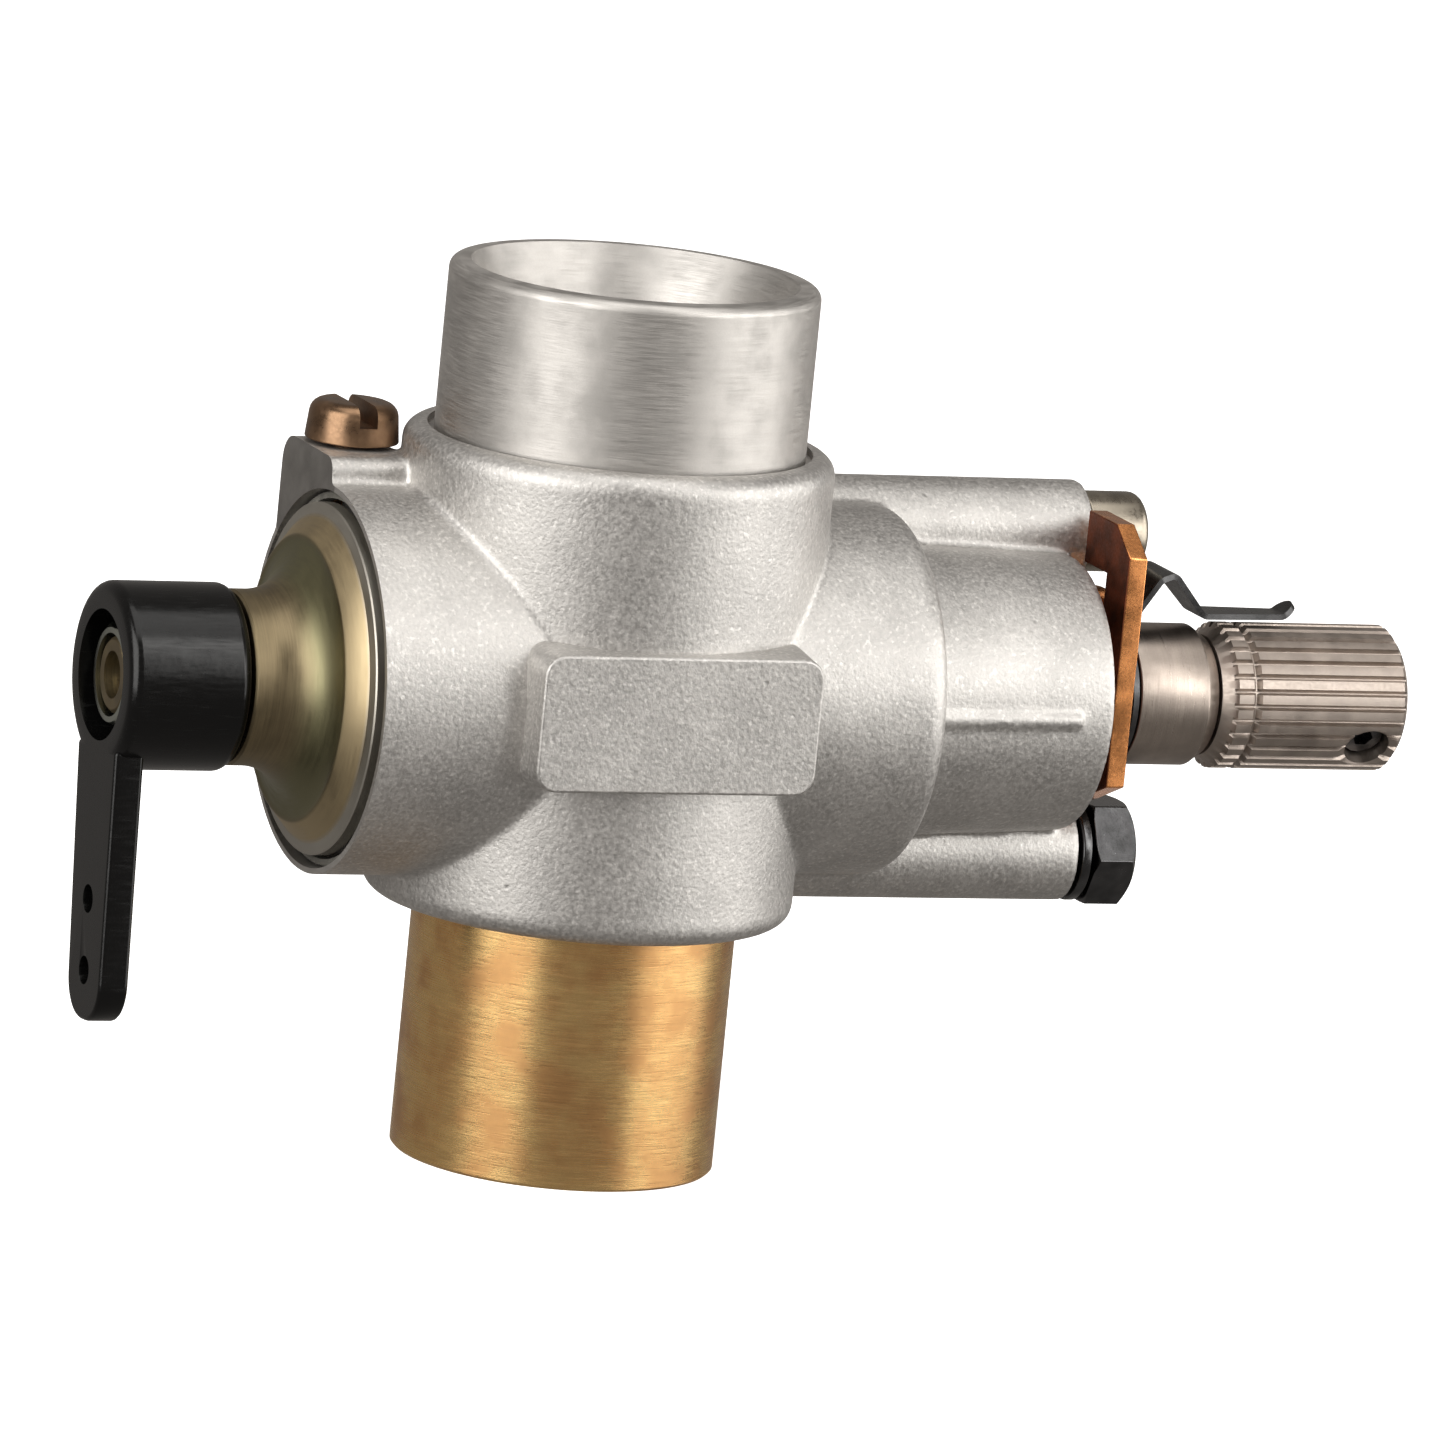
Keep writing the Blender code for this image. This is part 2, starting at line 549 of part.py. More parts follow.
def carburettor_body():
    """The casting, with its collar, bores and threaded holes machined in it."""
    body = turned(
        "carburettor_body",
        rounded(
            [
                (-SKIRT_DEPTH, 0, 0),
                (-SKIRT_DEPTH, TOWER_RADIUS, CAST_ROUND),
                (SHOULDER_HEIGHT, TOWER_RADIUS, CAST_ROUND),
                (SHOULDER_HEIGHT, COLLAR_RADIUS + COLLAR_GROOVE, 0),
                (SHOULDER_HEIGHT - COLLAR_GROOVE, COLLAR_RADIUS + COLLAR_GROOVE, 0),
                (SHOULDER_HEIGHT - COLLAR_GROOVE, COLLAR_RADIUS, 0),
                (RIM_HEIGHT, COLLAR_RADIUS, RIM_ROUND),
                (RIM_HEIGHT, 0, 0),
            ]
        ),
        "Z",
    )
    # The exact solver leaves cracks where this many facets meet, so the casting uses the other.
    join(body, *cast_shapes(), solver="MANIFOLD")
    bore = turned(
        "rotor_bore",
        [
            (HOUSING_LEFT - OVER, 0),
            (HOUSING_LEFT - OVER, MOUTH_RADIUS),
            (MOUTH_FLOOR, MOUTH_RADIUS),
            (MOUTH_FLOOR, BORE_RADIUS),
            (BORE_FLOOR, BORE_RADIUS),
            (BORE_FLOOR, NOZZLE_RADIUS + RUNNING_GAP),
            (NOZZLE_SEAT, NOZZLE_RADIUS + RUNNING_GAP),
            (NOZZLE_SEAT, HOLDER_BORE_RADIUS),
            (NEEDLE_END_RIGHT + OVER, HOLDER_BORE_RADIUS),
            (NEEDLE_END_RIGHT + OVER, 0),
        ],
        hidden=True,
    )
    air = turned("air_passage", funnel_outline(), "Z", segments=36, hidden=True)
    seat_top = -SKIRT_DEPTH + SPIGOT_SEAT
    seat = rod("spigot_seat", "Z", (0, 0), SPIGOT_RADIUS + GAP, -SKIRT_DEPTH - OVER, seat_top, SEGMENTS)
    guide = turned(
        "guide_hole",
        [
            (0, 0),
            (0, GUIDE_PIN_RADIUS + RUNNING_GAP),
            (EAR_TOP - GUIDE_SHANK_LENGTH - GAP, GUIDE_PIN_RADIUS + RUNNING_GAP),
            (EAR_TOP - GUIDE_SHANK_LENGTH - GAP, GUIDE_SHANK_RADIUS + GAP),
            (EAR_TOP - GUIDE_SPOT_FACE, GUIDE_SHANK_RADIUS + GAP),
            (EAR_TOP - GUIDE_SPOT_FACE, GUIDE_HEAD_RADIUS + RUNNING_GAP),
            (EAR_TOP + 2 * OVER, GUIDE_HEAD_RADIUS + RUNNING_GAP),
            (EAR_TOP + 2 * OVER, 0),
        ],
        "Z",
        (GUIDE_X, GUIDE_Y),
        SMALL_SEGMENTS,
        hidden=True,
    )
    pin_low = BOSS_RIGHT - PIN_STEM_LENGTH - 2 * GAP
    pin_hole = rod("pin_hole", "X", TOP_BOSS, PIN_STEM_RADIUS + GAP, pin_low, BOSS_RIGHT + OVER)
    plug_low = BOSS_RIGHT - PLUG_STEM_LENGTH - 2 * GAP
    plug_hole = rod("plug_hole", "X", LOW_BOSS, PLUG_STEM_RADIUS + GAP, plug_low, BOSS_RIGHT + OVER)
    inlet = rod("inlet_hole", "Y", (0, INLET_X), INLET_STEM_RADIUS + GAP, OVER, INLET_BOSS_REACH + OVER)
    cut(body, bore, air, seat, guide, pin_hole, plug_hole, inlet, solver="MANIFOLD")
    finish(body, "cast_aluminium", (0.62, 0.62, 0.6), 0.45, 1.0)


def intake_spigot():
    top = -SKIRT_DEPTH + SPIGOT_SEAT - GAP
    inner = SPIGOT_RADIUS - SPIGOT_WALL
    spigot = turned("intake_spigot", ring_outline(SPIGOT_LOW, top, inner, SPIGOT_RADIUS), "Z")
    finish(spigot, "spigot_brass", (0.72, 0.5, 0.2), 0.28, 1.0)


def helical_channel():
    """The guide groove's cutter, wide enough for the pin as the rotor turns and moves along."""
    tip_height = math.sqrt(ROTOR_RADIUS**2 - GUIDE_Y**2) - GUIDE_ENGAGEMENT
    floor = math.hypot(GUIDE_Y - GUIDE_PIN_RADIUS, tip_height) - 1.5 * RUNNING_GAP
    pin_angle = math.atan2(tip_height + GUIDE_ENGAGEMENT / 2, GUIDE_Y)
    half_width = GUIDE_PIN_RADIUS + THROTTLE_LEAD * GROOVE_SPREAD + RUNNING_GAP
    reach = THROTTLE_SWING + 2 * GROOVE_SPREAD
    steps = 20
    bm = bmesh.new()
    sections = []
    for k in range(steps + 1):
        turn = reach * (2 * k / steps - 1)
        along = GUIDE_X + THROTTLE_LEAD * turn
        angle = pin_angle + turn
        section = []
        for radius, side in ((floor, -1), (ROTOR_RADIUS + GAP, -1), (ROTOR_RADIUS + GAP, 1), (floor, 1)):
            x = along + side * half_width
            section.append(bm.verts.new((x, radius * math.cos(angle), radius * math.sin(angle))))
        sections.append(section)
    bm.faces.new(sections[0])
    bm.faces.new(list(reversed(sections[-1])))
    for one, two in zip(sections, sections[1:]):
        for k in range(4):
            n = (k + 1) % 4
            bm.faces.new([one[k], one[n], two[n], two[k]])
    return add_object("guide_groove", bm, hidden=True)


def throttle_rotor():
    """The barrel, its flange, neck and lever stud in one, bored through for air and needle."""
    cove = arc((BEVEL_LEFT - COVE_RADIUS, NECK_RADIUS + COVE_RADIUS), COVE_RADIUS, -90, 0, 5)
    outline = [
        (STUD_LEFT, STUD_BORE),
        (STUD_LEFT, STUD_RADIUS),
        (NECK_LEFT, STUD_RADIUS),
        (NECK_LEFT, NECK_RADIUS),
        *cove[:-1],
        (BEVEL_LEFT, FLANGE_BEVEL_INNER),
        (FLANGE_LEFT - FLANGE_LAND_RISE, FLANGE_RADIUS - FLANGE_LAND),
        (FLANGE_LEFT, FLANGE_RADIUS),
        (FLANGE_RIGHT, FLANGE_RADIUS),
        (FLANGE_RIGHT, ROTOR_RADIUS),
        (ROTOR_RIGHT, ROTOR_RADIUS),
        (ROTOR_RIGHT, SPRING_POCKET_RADIUS),
        (POCKET_FLOOR, SPRING_POCKET_RADIUS),
        (POCKET_FLOOR, NOZZLE_RADIUS + 2 * RUNNING_GAP),
        (0, NOZZLE_RADIUS + 2 * RUNNING_GAP),
        (0, STUD_BORE),
        (SEAL_CHAMBER_RIGHT, STUD_BORE),
        (SEAL_CHAMBER_RIGHT, SEAL_CHAMBER_RADIUS),
        (SEAL_CHAMBER_LEFT, SEAL_CHAMBER_RADIUS),
        (SEAL_CHAMBER_LEFT, STUD_BORE),
    ]
    rotor = turned("throttle_rotor", outline, segments=36)
    reach = 2 * ROTOR_RADIUS
    bore = rod("rotor_air_bore", "Z", (0, 0), ROTOR_BORE_RADIUS, -reach, reach, 36)
    bore.rotation_euler.x = ROTOR_REST_ANGLE
    cut(rotor, bore, helical_channel())
    finish(rotor, "zinc_yellow", (0.5, 0.45, 0.28), 0.35, 1.0)


def rotor_dust_seal():
    left = FLANGE_RIGHT + SEAL_GAP / 2
    radii = (FLANGE_RADIUS + SEAL_GAP, MOUTH_RADIUS - SEAL_GAP)
    outline = ring_outline(left, left + DUST_SEAL_THICKNESS, *radii)
    seal = turned("rotor_dust_seal", outline)
    finish(seal, "seal_rubber", (0.02, 0.02, 0.02), 0.8, 0.0)


def rotor_spring():
    """An open coil, which stands between the rotor's pocket and the end wall."""
    low = POCKET_FLOOR + SPRING_WIRE + GAP
    high = BORE_FLOOR - SPRING_WIRE - GAP
    steps = 16
    sides = 6
    bm = bmesh.new()
    sections = []
    for k in range(SPRING_TURNS * steps + 1):
        angle = 2 * math.pi * k / steps
        along = low + (high - low) * k / (SPRING_TURNS * steps)
        section = []
        for s in range(sides):
            round_wire = 2 * math.pi * s / sides
            radius = SPRING_RADIUS + SPRING_WIRE * math.cos(round_wire)
            x = along + SPRING_WIRE * math.sin(round_wire)
            section.append(bm.verts.new((x, radius * math.cos(angle), radius * math.sin(angle))))
        sections.append(section)
    bm.faces.new(sections[0])
    bm.faces.new(list(reversed(sections[-1])))
    for one, two in zip(sections, sections[1:]):
        for s in range(sides):
            n = (s + 1) % sides
            bm.faces.new([one[s], one[n], two[n], two[s]])
    spring = add_object("rotor_spring", bm)
    finish(spring, "spring_steel", (0.45, 0.45, 0.45), 0.3, 1.0)


def throttle_lever():
    """Hub and hanging arm in one, with a recess for the nut and holes for the pushrod."""
    outline = [
        (RECESS_FLOOR, STUD_RADIUS + RUNNING_GAP),
        (RECESS_FLOOR, RECESS_RADIUS),
        (LEVER_LEFT, RECESS_RADIUS),
        *arc((LEVER_LEFT + HUB_ROUND, HUB_RADIUS - HUB_ROUND), HUB_ROUND, 180, 90, 2),
        *arc((HUB_RIGHT - HUB_ROUND, HUB_RADIUS - HUB_ROUND), HUB_ROUND, 90, 0, 2),
        (HUB_RIGHT, STUD_RADIUS + RUNNING_GAP),
    ]
    lever = turned("throttle_lever", outline, segments=36)
    tip_half = ARM_TIP_WIDTH / 2
    top_half = ARM_TOP_WIDTH / 2
    tip_round = min(ARM_TIP_ROUND, tip_half)
    low = -ARM_LENGTH
    root = -(RECESS_RADIUS + ARM_ROOT_INSET)
    arm_outline = rounded(
        [
            (-top_half, root, 0),
            (-tip_half, low, tip_round),
            (tip_half, low, tip_round),
            (top_half, root, 0),
        ],
        steps=5,
    )
    arm = prism("arm_shape", arm_outline, LEVER_LEFT, LEVER_LEFT + ARM_THICKNESS, hidden=True)
    join(lever, arm)
    arm.rotation_euler.x = LEVER_REST_TILT
    for number, drop in enumerate(ARM_HOLES):
        ends = (LEVER_LEFT - OVER, LEVER_LEFT + ARM_THICKNESS + OVER)
        hole = rod(f"arm_hole_{number + 1}", "X", (0, -drop), ARM_HOLE_RADIUS, *ends, 16)
        hole.rotation_euler.x = LEVER_REST_TILT
        cut(lever, hole)
    finish(lever, "lever_nylon", (0.012, 0.012, 0.012), 0.22, 0.0)


def lever_nut():
    left = RECESS_FLOOR - GAP - NUT_THICKNESS
    nut = prism("lever_nut", hexagon(NUT_FLATS), left, left + NUT_THICKNESS)
    hole = rod("nut_hole", "X", (0, 0), STUD_RADIUS + GAP, left - OVER, left + 2 * OVER)
    cut(nut, hole)
    finish(nut, "nut_steel", (0.6, 0.6, 0.58), 0.3, 1.0)


def idle_needle():
    """Idle mixture screw: slotted head in the stud, taper at the nozzle's mouth."""
    head = STUD_LEFT + IDLE_HEAD_INSET
    groove_low = IDLE_SEAL_X - SEAL_WIDTH / 2 - GAP
    groove_high = IDLE_SEAL_X + SEAL_WIDTH / 2 + GAP
    outline = [
        (head, 0),
        (head, IDLE_RADIUS),
        (groove_low, IDLE_RADIUS),
        (groove_low, SEAL_GROOVE_RADIUS),
        (groove_high, SEAL_GROOVE_RADIUS),
        (groove_high, IDLE_RADIUS),
        (-ROTOR_BORE_RADIUS - IDLE_RADIUS, IDLE_RADIUS),
        (-ROTOR_BORE_RADIUS, IDLE_THIN_RADIUS),
        (IDLE_TIP - IDLE_TIP_TAPER, IDLE_THIN_RADIUS),
        (IDLE_TIP, IDLE_TIP_RADIUS),
        (IDLE_TIP, 0),
    ]
    needle = turned("idle_needle", outline, segments=16)
    slot_corners = slot_outline(IDLE_SLOT, IDLE_RADIUS)
    slot = prism("idle_slot", slot_corners, head - OVER, head + IDLE_SLOT_DEPTH, hidden=True)
    cut(needle, slot)
    finish(needle, "idle_needle_brass", (0.7, 0.52, 0.25), 0.3, 1.0)
    width = (IDLE_SEAL_X - SEAL_WIDTH / 2, IDLE_SEAL_X + SEAL_WIDTH / 2)
    radii = (SEAL_GROOVE_RADIUS + SEAL_GAP, SEAL_CHAMBER_RADIUS - RUNNING_GAP)
    seal = turned("idle_needle_o_ring", ring_outline(*width, *radii), segments=SMALL_SEGMENTS)
    finish(seal, "idle_o_ring_rubber", (0.02, 0.02, 0.02), 0.7, 0.0)


def slot_outline(width, reach):
    """A slot's rectangle across a round head."""
    half = width / 2
    over = reach + OVER
    return [(-over, -half), (over, -half), (over, half), (-over, half)]


def rotor_guide_screw():
    """Slotted screw whose pin runs in the rotor's helical groove."""
    tip = math.sqrt(ROTOR_RADIUS**2 - GUIDE_Y**2) - GUIDE_ENGAGEMENT
    seat = EAR_TOP + GAP
    shank_end = seat - GAP - GUIDE_SHANK_LENGTH
    outline = rounded(
        [
            (tip, 0, 0),
            (tip, GUIDE_PIN_RADIUS, SEAL_GAP),
            (shank_end, GUIDE_PIN_RADIUS, 0),
            (shank_end, GUIDE_SHANK_RADIUS, 0),
            (seat, GUIDE_SHANK_RADIUS, 0),
            (seat, GUIDE_HEAD_RADIUS, 0),
            (seat + GUIDE_HEAD_HEIGHT, GUIDE_HEAD_RADIUS - GUIDE_HEAD_TAPER, GUIDE_HEAD_ROUND),
            (seat + GUIDE_HEAD_HEIGHT, 0, 0),
        ]
    )
    screw = turned("rotor_guide_screw", outline, "Z", (GUIDE_X, GUIDE_Y), SMALL_SEGMENTS)
    top = seat + GUIDE_HEAD_HEIGHT
    slot_corners = [(GUIDE_X + a, GUIDE_Y + b) for b, a in slot_outline(GUIDE_SLOT, GUIDE_HEAD_RADIUS)]
    slot = prism("guide_slot", slot_corners, top - GUIDE_SLOT_DEPTH, top + OVER, "Z", hidden=True)
    cut(screw, slot)
    finish(screw, "guide_screw_bronze", (0.42, 0.24, 0.12), 0.35, 1.0)


def spray_nozzle():
    outline = [
        (NOZZLE_MOUTH, NOZZLE_BORE),
        (NOZZLE_MOUTH, NOZZLE_RADIUS - NOZZLE_TIP_INSET),
        (NOZZLE_MOUTH + NOZZLE_TIP_LENGTH, NOZZLE_RADIUS),
        (NOZZLE_FLANGE_LEFT, NOZZLE_RADIUS),
        (NOZZLE_FLANGE_LEFT, NOZZLE_FLANGE_RADIUS),
        (NOZZLE_RIGHT, NOZZLE_FLANGE_RADIUS),
        (NOZZLE_RIGHT, NOZZLE_BORE),
    ]
    nozzle = turned("spray_nozzle", outline, segments=SMALL_SEGMENTS)
    finish(nozzle, "nozzle_brass", (0.7, 0.5, 0.22), 0.3, 1.0)
    left = NOZZLE_SEAT + GAP
    radii = (NOZZLE_RADIUS + RUNNING_GAP, NOZZLE_FLANGE_RADIUS)
    outline = ring_outline(left, left + GASKET_THICKNESS, *radii)
    gasket = turned("nozzle_gasket", outline, segments=SMALL_SEGMENTS)
    finish(gasket, "nozzle_gasket_fibre", (0.35, 0.2, 0.12), 0.8, 0.0)


def needle_valve_holder():
    """Threaded seat and sleeve of the main needle, with its fuel ports."""
    groove_width, groove_depth = HOLDER_FUEL_GROOVE
    groove_left = INLET_X - groove_width / 2
    groove_right = INLET_X + groove_width / 2
    seal_bore_floor = HOLDER_RIGHT - HOLDER_SEAL_BORE_DEPTH
    outline = [
        (HOLDER_LEFT, HOLDER_SEAT_RADIUS),
        (HOLDER_LEFT, HOLDER_THREAD_RADIUS),
        (groove_left, HOLDER_THREAD_RADIUS),
        (groove_left, HOLDER_THREAD_RADIUS - groove_depth),
        (groove_right, HOLDER_THREAD_RADIUS - groove_depth),
        (groove_right, HOLDER_THREAD_RADIUS),
        (SHOULDER_LEFT, HOLDER_THREAD_RADIUS),
        (SHOULDER_LEFT, HOLDER_RADIUS),
        (SHOULDER_RIGHT, HOLDER_RADIUS),
        (HOLDER_RIGHT, HOLDER_RADIUS - HOLDER_CHAMFER[1]),
        (HOLDER_RIGHT, HOLDER_SEAL_BORE),
        (seal_bore_floor, HOLDER_SEAL_BORE),
        (seal_bore_floor, HOLDER_THREAD_BORE),
        (SEAT_RIGHT, HOLDER_THREAD_BORE),
        (SEAT_RIGHT, HOLDER_SEAT_RADIUS),
    ]
    holder = turned("needle_valve_holder", outline, segments=36)
    reach = 2 * HOLDER_RADIUS
    for number, axis in enumerate("YZ"):
        centre = (0, INLET_X) if axis == "Y" else (INLET_X, 0)
        port = rod(f"fuel_port_{number + 1}", axis, centre, FUEL_PORT_RADIUS, -reach, reach, 12)
        cut(holder, port)
    finish(holder, "holder_steel", (0.5, 0.47, 0.43), 0.28, 1.0)


def holder_gasket():
    left = NEEDLE_END_RIGHT + GAP
    radii = (HOLDER_BORE_RADIUS, PLATE_ROUND - GASKET_INSET)
    gasket = turned("holder_gasket", ring_outline(left, left + GASKET_THICKNESS, *radii), segments=28)
    finish(gasket, "holder_gasket_fibre", (0.3, 0.18, 0.1), 0.8, 0.0)


def retainer_plate():
    """Copper plate held by the holder; its hook comes up to the top boss and stops it turning."""
    hook_back = TOP_BOSS[0] - BOSS_RADIUS - 2 * GAP
    chamfer_back, chamfer_drop = PLATE_CHAMFER
    notch_y, notch_z = PLATE_NOTCH
    start = math.degrees(math.acos(notch_y / PLATE_ROUND))
    last = -180 + math.degrees(math.asin((PLATE_LOW_CORNER + PLATE_THICKNESS) / PLATE_ROUND))
    outline = [
        (-PLATE_FRONT, -PLATE_LOW_CORNER),
        (-PLATE_FRONT, PLATE_TOP - chamfer_drop),
        (-PLATE_FRONT + chamfer_back, PLATE_TOP),
        (hook_back, PLATE_TOP),
        (hook_back, notch_z),
        (notch_y, notch_z),
        *arc((0, 0), PLATE_ROUND, start, last, 18),
    ]
    plate = prism("retainer_plate", outline, PLATE_LEFT, PLATE_RIGHT)
    hole = rod("plate_hole", "X", (0, 0), HOLDER_BORE_RADIUS, PLATE_LEFT - OVER, PLATE_RIGHT + OVER, 32)
    cut(plate, hole)
    finish(plate, "retainer_copper", (0.72, 0.32, 0.12), 0.3, 1.0)


def brass_washer():
    radii = (HOLDER_BORE_RADIUS, WASHER_RADIUS)
    outline = ring_outline(WASHER_LEFT, WASHER_LEFT + WASHER_THICKNESS, *radii)
    washer = turned("brass_washer", outline, segments=36)
    finish(washer, "washer_brass", (0.75, 0.62, 0.35), 0.3, 1.0)


def ratchet_spring():
    """Leaf spring clamped under the holder, whose tongue lies over the knurled knob."""
    half = LEAF_THICKNESS / 2
    run_height = KNOB_RADIUS + 2 * GAP + half
    crest_x, crest_z = LEAF_CREST
    path = [
        (LEAF_LEFT + half, HOLDER_BORE_RADIUS + GAP),
        (LEAF_LEFT + half, HOLDER_RADIUS + LEAF_FOOT_RISE),
        (LEAF_LEFT + crest_x - LEAF_CREST_FLAT, crest_z - LEAF_CREST_RISE),
        (LEAF_LEFT + crest_x, crest_z),
        (LEAF_LEFT + LEAF_RUN_START, run_height),
        (LEAF_LEFT + LEAF_RUN_END, run_height),
        (LEAF_LEFT + LEAF_RUN_END + LEAF_TONGUE[0], run_height + LEAF_TONGUE[1]),
    ]
    outline = thickened(path, half)
    # The Y plane's outline pairs are (z, x).
    outline = [(z, x) for x, z in outline]
    strip = prism("leaf_strip", outline, -LEAF_WIDTH / 2, LEAF_WIDTH / 2, "Y", hidden=True)
    tab = ring_outline(LEAF_LEFT, LEAF_RIGHT, HOLDER_BORE_RADIUS, HOLDER_RADIUS)
    leaf = turned("ratchet_spring", tab, segments=36)
    join(leaf, strip)
    finish(leaf, "ratchet_black_steel", (0.015, 0.015, 0.015), 0.35, 1.0)


def thickened(path, half):
    """The closed outline of a strip of thickness 2 * half along a path of (u, v) points."""
    sides = ([], [])
    for i, point in enumerate(path):
        here = Vector(point)
        before = (here - Vector(path[i - 1])).normalized() if i else None
        after = (Vector(path[i + 1]) - here).normalized() if i + 1 < len(path) else None
        before = before or after
        after = after or before
        normal = Vector((-(before + after).y, (before + after).x)).normalized()
        reach = half / max(normal.dot(Vector((-after.y, after.x))), 0.3)
        sides[0].append(tuple(here + normal * reach))
        sides[1].append(tuple(here - normal * reach))
    return sides[0] + sides[1][::-1]


def needle_valve():
    """Knurled knob and tapered needle in one."""
    groove_low = NEEDLE_SEAL_X - SEAL_WIDTH / 2 - GAP
    groove_high = NEEDLE_SEAL_X + SEAL_WIDTH / 2 + GAP
    cone_depth, cone_length = KNOB_CONE
    chamfer_length, chamfer_depth = KNOB_END_CHAMFER
    knurl_left = KNOB_LEFT + cone_length + KNOB_COLLAR
    bore_floor = KNOB_RIGHT - KNOB_END_BORE_DEPTH
    outline = [
        (NEEDLE_TIP, 0),
        (NEEDLE_TIP, NEEDLE_TIP_RADIUS),
        (NEEDLE_TIP + NEEDLE_TAPER, NEEDLE_RADIUS),
        (groove_low, NEEDLE_RADIUS),
        (groove_low, SEAL_GROOVE_RADIUS),
        (groove_high, SEAL_GROOVE_RADIUS),
        (groove_high, NEEDLE_RADIUS),
        (KNOB_LEFT, NEEDLE_RADIUS),
        (KNOB_LEFT, KNOB_RADIUS - cone_depth),
        (KNOB_LEFT + cone_length, KNOB_RADIUS),
        (knurl_left - KNURL_RUN_OUT, KNOB_RADIUS),
        (knurl_left, KNOB_ROOT_RADIUS),
        (knurl_left + KNURL_RUN_OUT, KNOB_RADIUS),
        (KNOB_RIGHT - chamfer_length, KNOB_RADIUS),
        (KNOB_RIGHT, KNOB_RADIUS - chamfer_depth),
        (KNOB_RIGHT, KNOB_END_BORE),
        (bore_floor, KNOB_END_BORE),
        (bore_floor, 0),
    ]

    def knurl(along, radius, k):
        return KNOB_ROOT_RADIUS if along > knurl_left and radius >= KNOB_RADIUS and k % 2 else radius

    knob = turned("needle_valve", outline, segments=2 * KNOB_TEETH, tooth=knurl)
    screw_x = KNOB_RIGHT - SET_SCREW_FROM_END
    hole = rod("set_screw_hole", "Z", (screw_x, 0), SET_SCREW_RADIUS + GAP, 0, 2 * KNOB_RADIUS, 16)
    # Turned from straight up to forward and down.
    hole.rotation_euler.x = math.pi / 2 + SET_SCREW_ANGLE
    cut(knob, hole)
    finish(knob, "knob_nickel", (0.5, 0.46, 0.42), 0.3, 1.0)

    low = KNOB_END_BORE + RUNNING_GAP
    high = KNOB_RADIUS - SET_SCREW_INSET
    outline = [(low, 0), (low, SET_SCREW_RADIUS), (high, SET_SCREW_RADIUS), (high, 0)]
    screw = turned("needle_set_screw", outline, "Z", (screw_x, 0), 16)
    screw.rotation_euler.x = math.pi / 2 + SET_SCREW_ANGLE
    socket_outline = hexagon(SET_SCREW_FLATS, (screw_x, 0))
    socket = prism(
        "set_screw_socket", socket_outline, high - SET_SCREW_SOCKET_DEPTH, high + OVER, "Z", hidden=True
    )
    socket.rotation_euler.x = math.pi / 2 + SET_SCREW_ANGLE
    cut(screw, socket)
    finish(screw, "set_screw_steel", (0.1, 0.1, 0.1), 0.4, 1.0)

    width = (NEEDLE_SEAL_X - SEAL_WIDTH / 2, NEEDLE_SEAL_X + SEAL_WIDTH / 2)
    radii = (SEAL_GROOVE_RADIUS + SEAL_GAP, HOLDER_SEAL_BORE - RUNNING_GAP)
    seal = turned("needle_o_ring", ring_outline(*width, *radii), segments=SMALL_SEGMENTS)
    finish(seal, "needle_o_ring_rubber", (0.02, 0.02, 0.02), 0.7, 0.0)


def locating_pin():
    left = BOSS_RIGHT - PIN_STEM_LENGTH
    head = BOSS_RIGHT + GAP
    outline = rounded(
        [
            (left, 0, 0),
            (left, PIN_STEM_RADIUS, RUNNING_GAP),
            (head, PIN_STEM_RADIUS, 0),
            (head, PIN_HEAD_RADIUS, SEAL_GAP),
            (head + PIN_HEAD_LENGTH, PIN_HEAD_RADIUS, PIN_HEAD_ROUND),
            (head + PIN_HEAD_LENGTH, 0, 0),
        ]
    )
    pin = turned("locating_pin", outline, "X", TOP_BOSS, SMALL_SEGMENTS)
    finish(pin, "pin_nickel", (0.48, 0.44, 0.38), 0.35, 1.0)


def passage_plug():
    """Hexagon plug that closes the lower passage, on its washer."""
    washer_left = BOSS_RIGHT + GAP
    head_left = washer_left + PLUG_WASHER + GAP
    stem_left = BOSS_RIGHT - PLUG_STEM_LENGTH
    washer = turned(
        "plug_washer",
        ring_outline(washer_left, washer_left + PLUG_WASHER, PLUG_STEM_RADIUS + GAP, BOSS_RADIUS),
        "X",
        LOW_BOSS,
        SMALL_SEGMENTS,
    )
    finish(washer, "plug_washer_black", (0.02, 0.02, 0.02), 0.5, 0.0)
    head_right = head_left + PLUG_HEAD_LENGTH
    plug = prism("passage_plug", hexagon(PLUG_FLATS, LOW_BOSS), head_left, head_right)
    stem = rod("plug_stem", "X", LOW_BOSS, PLUG_STEM_RADIUS, stem_left, head_left + PLUG_HEAD_LENGTH / 2)
    join(plug, stem)
    finish(plug, "plug_black_oxide", (0.02, 0.02, 0.02), 0.3, 1.0)


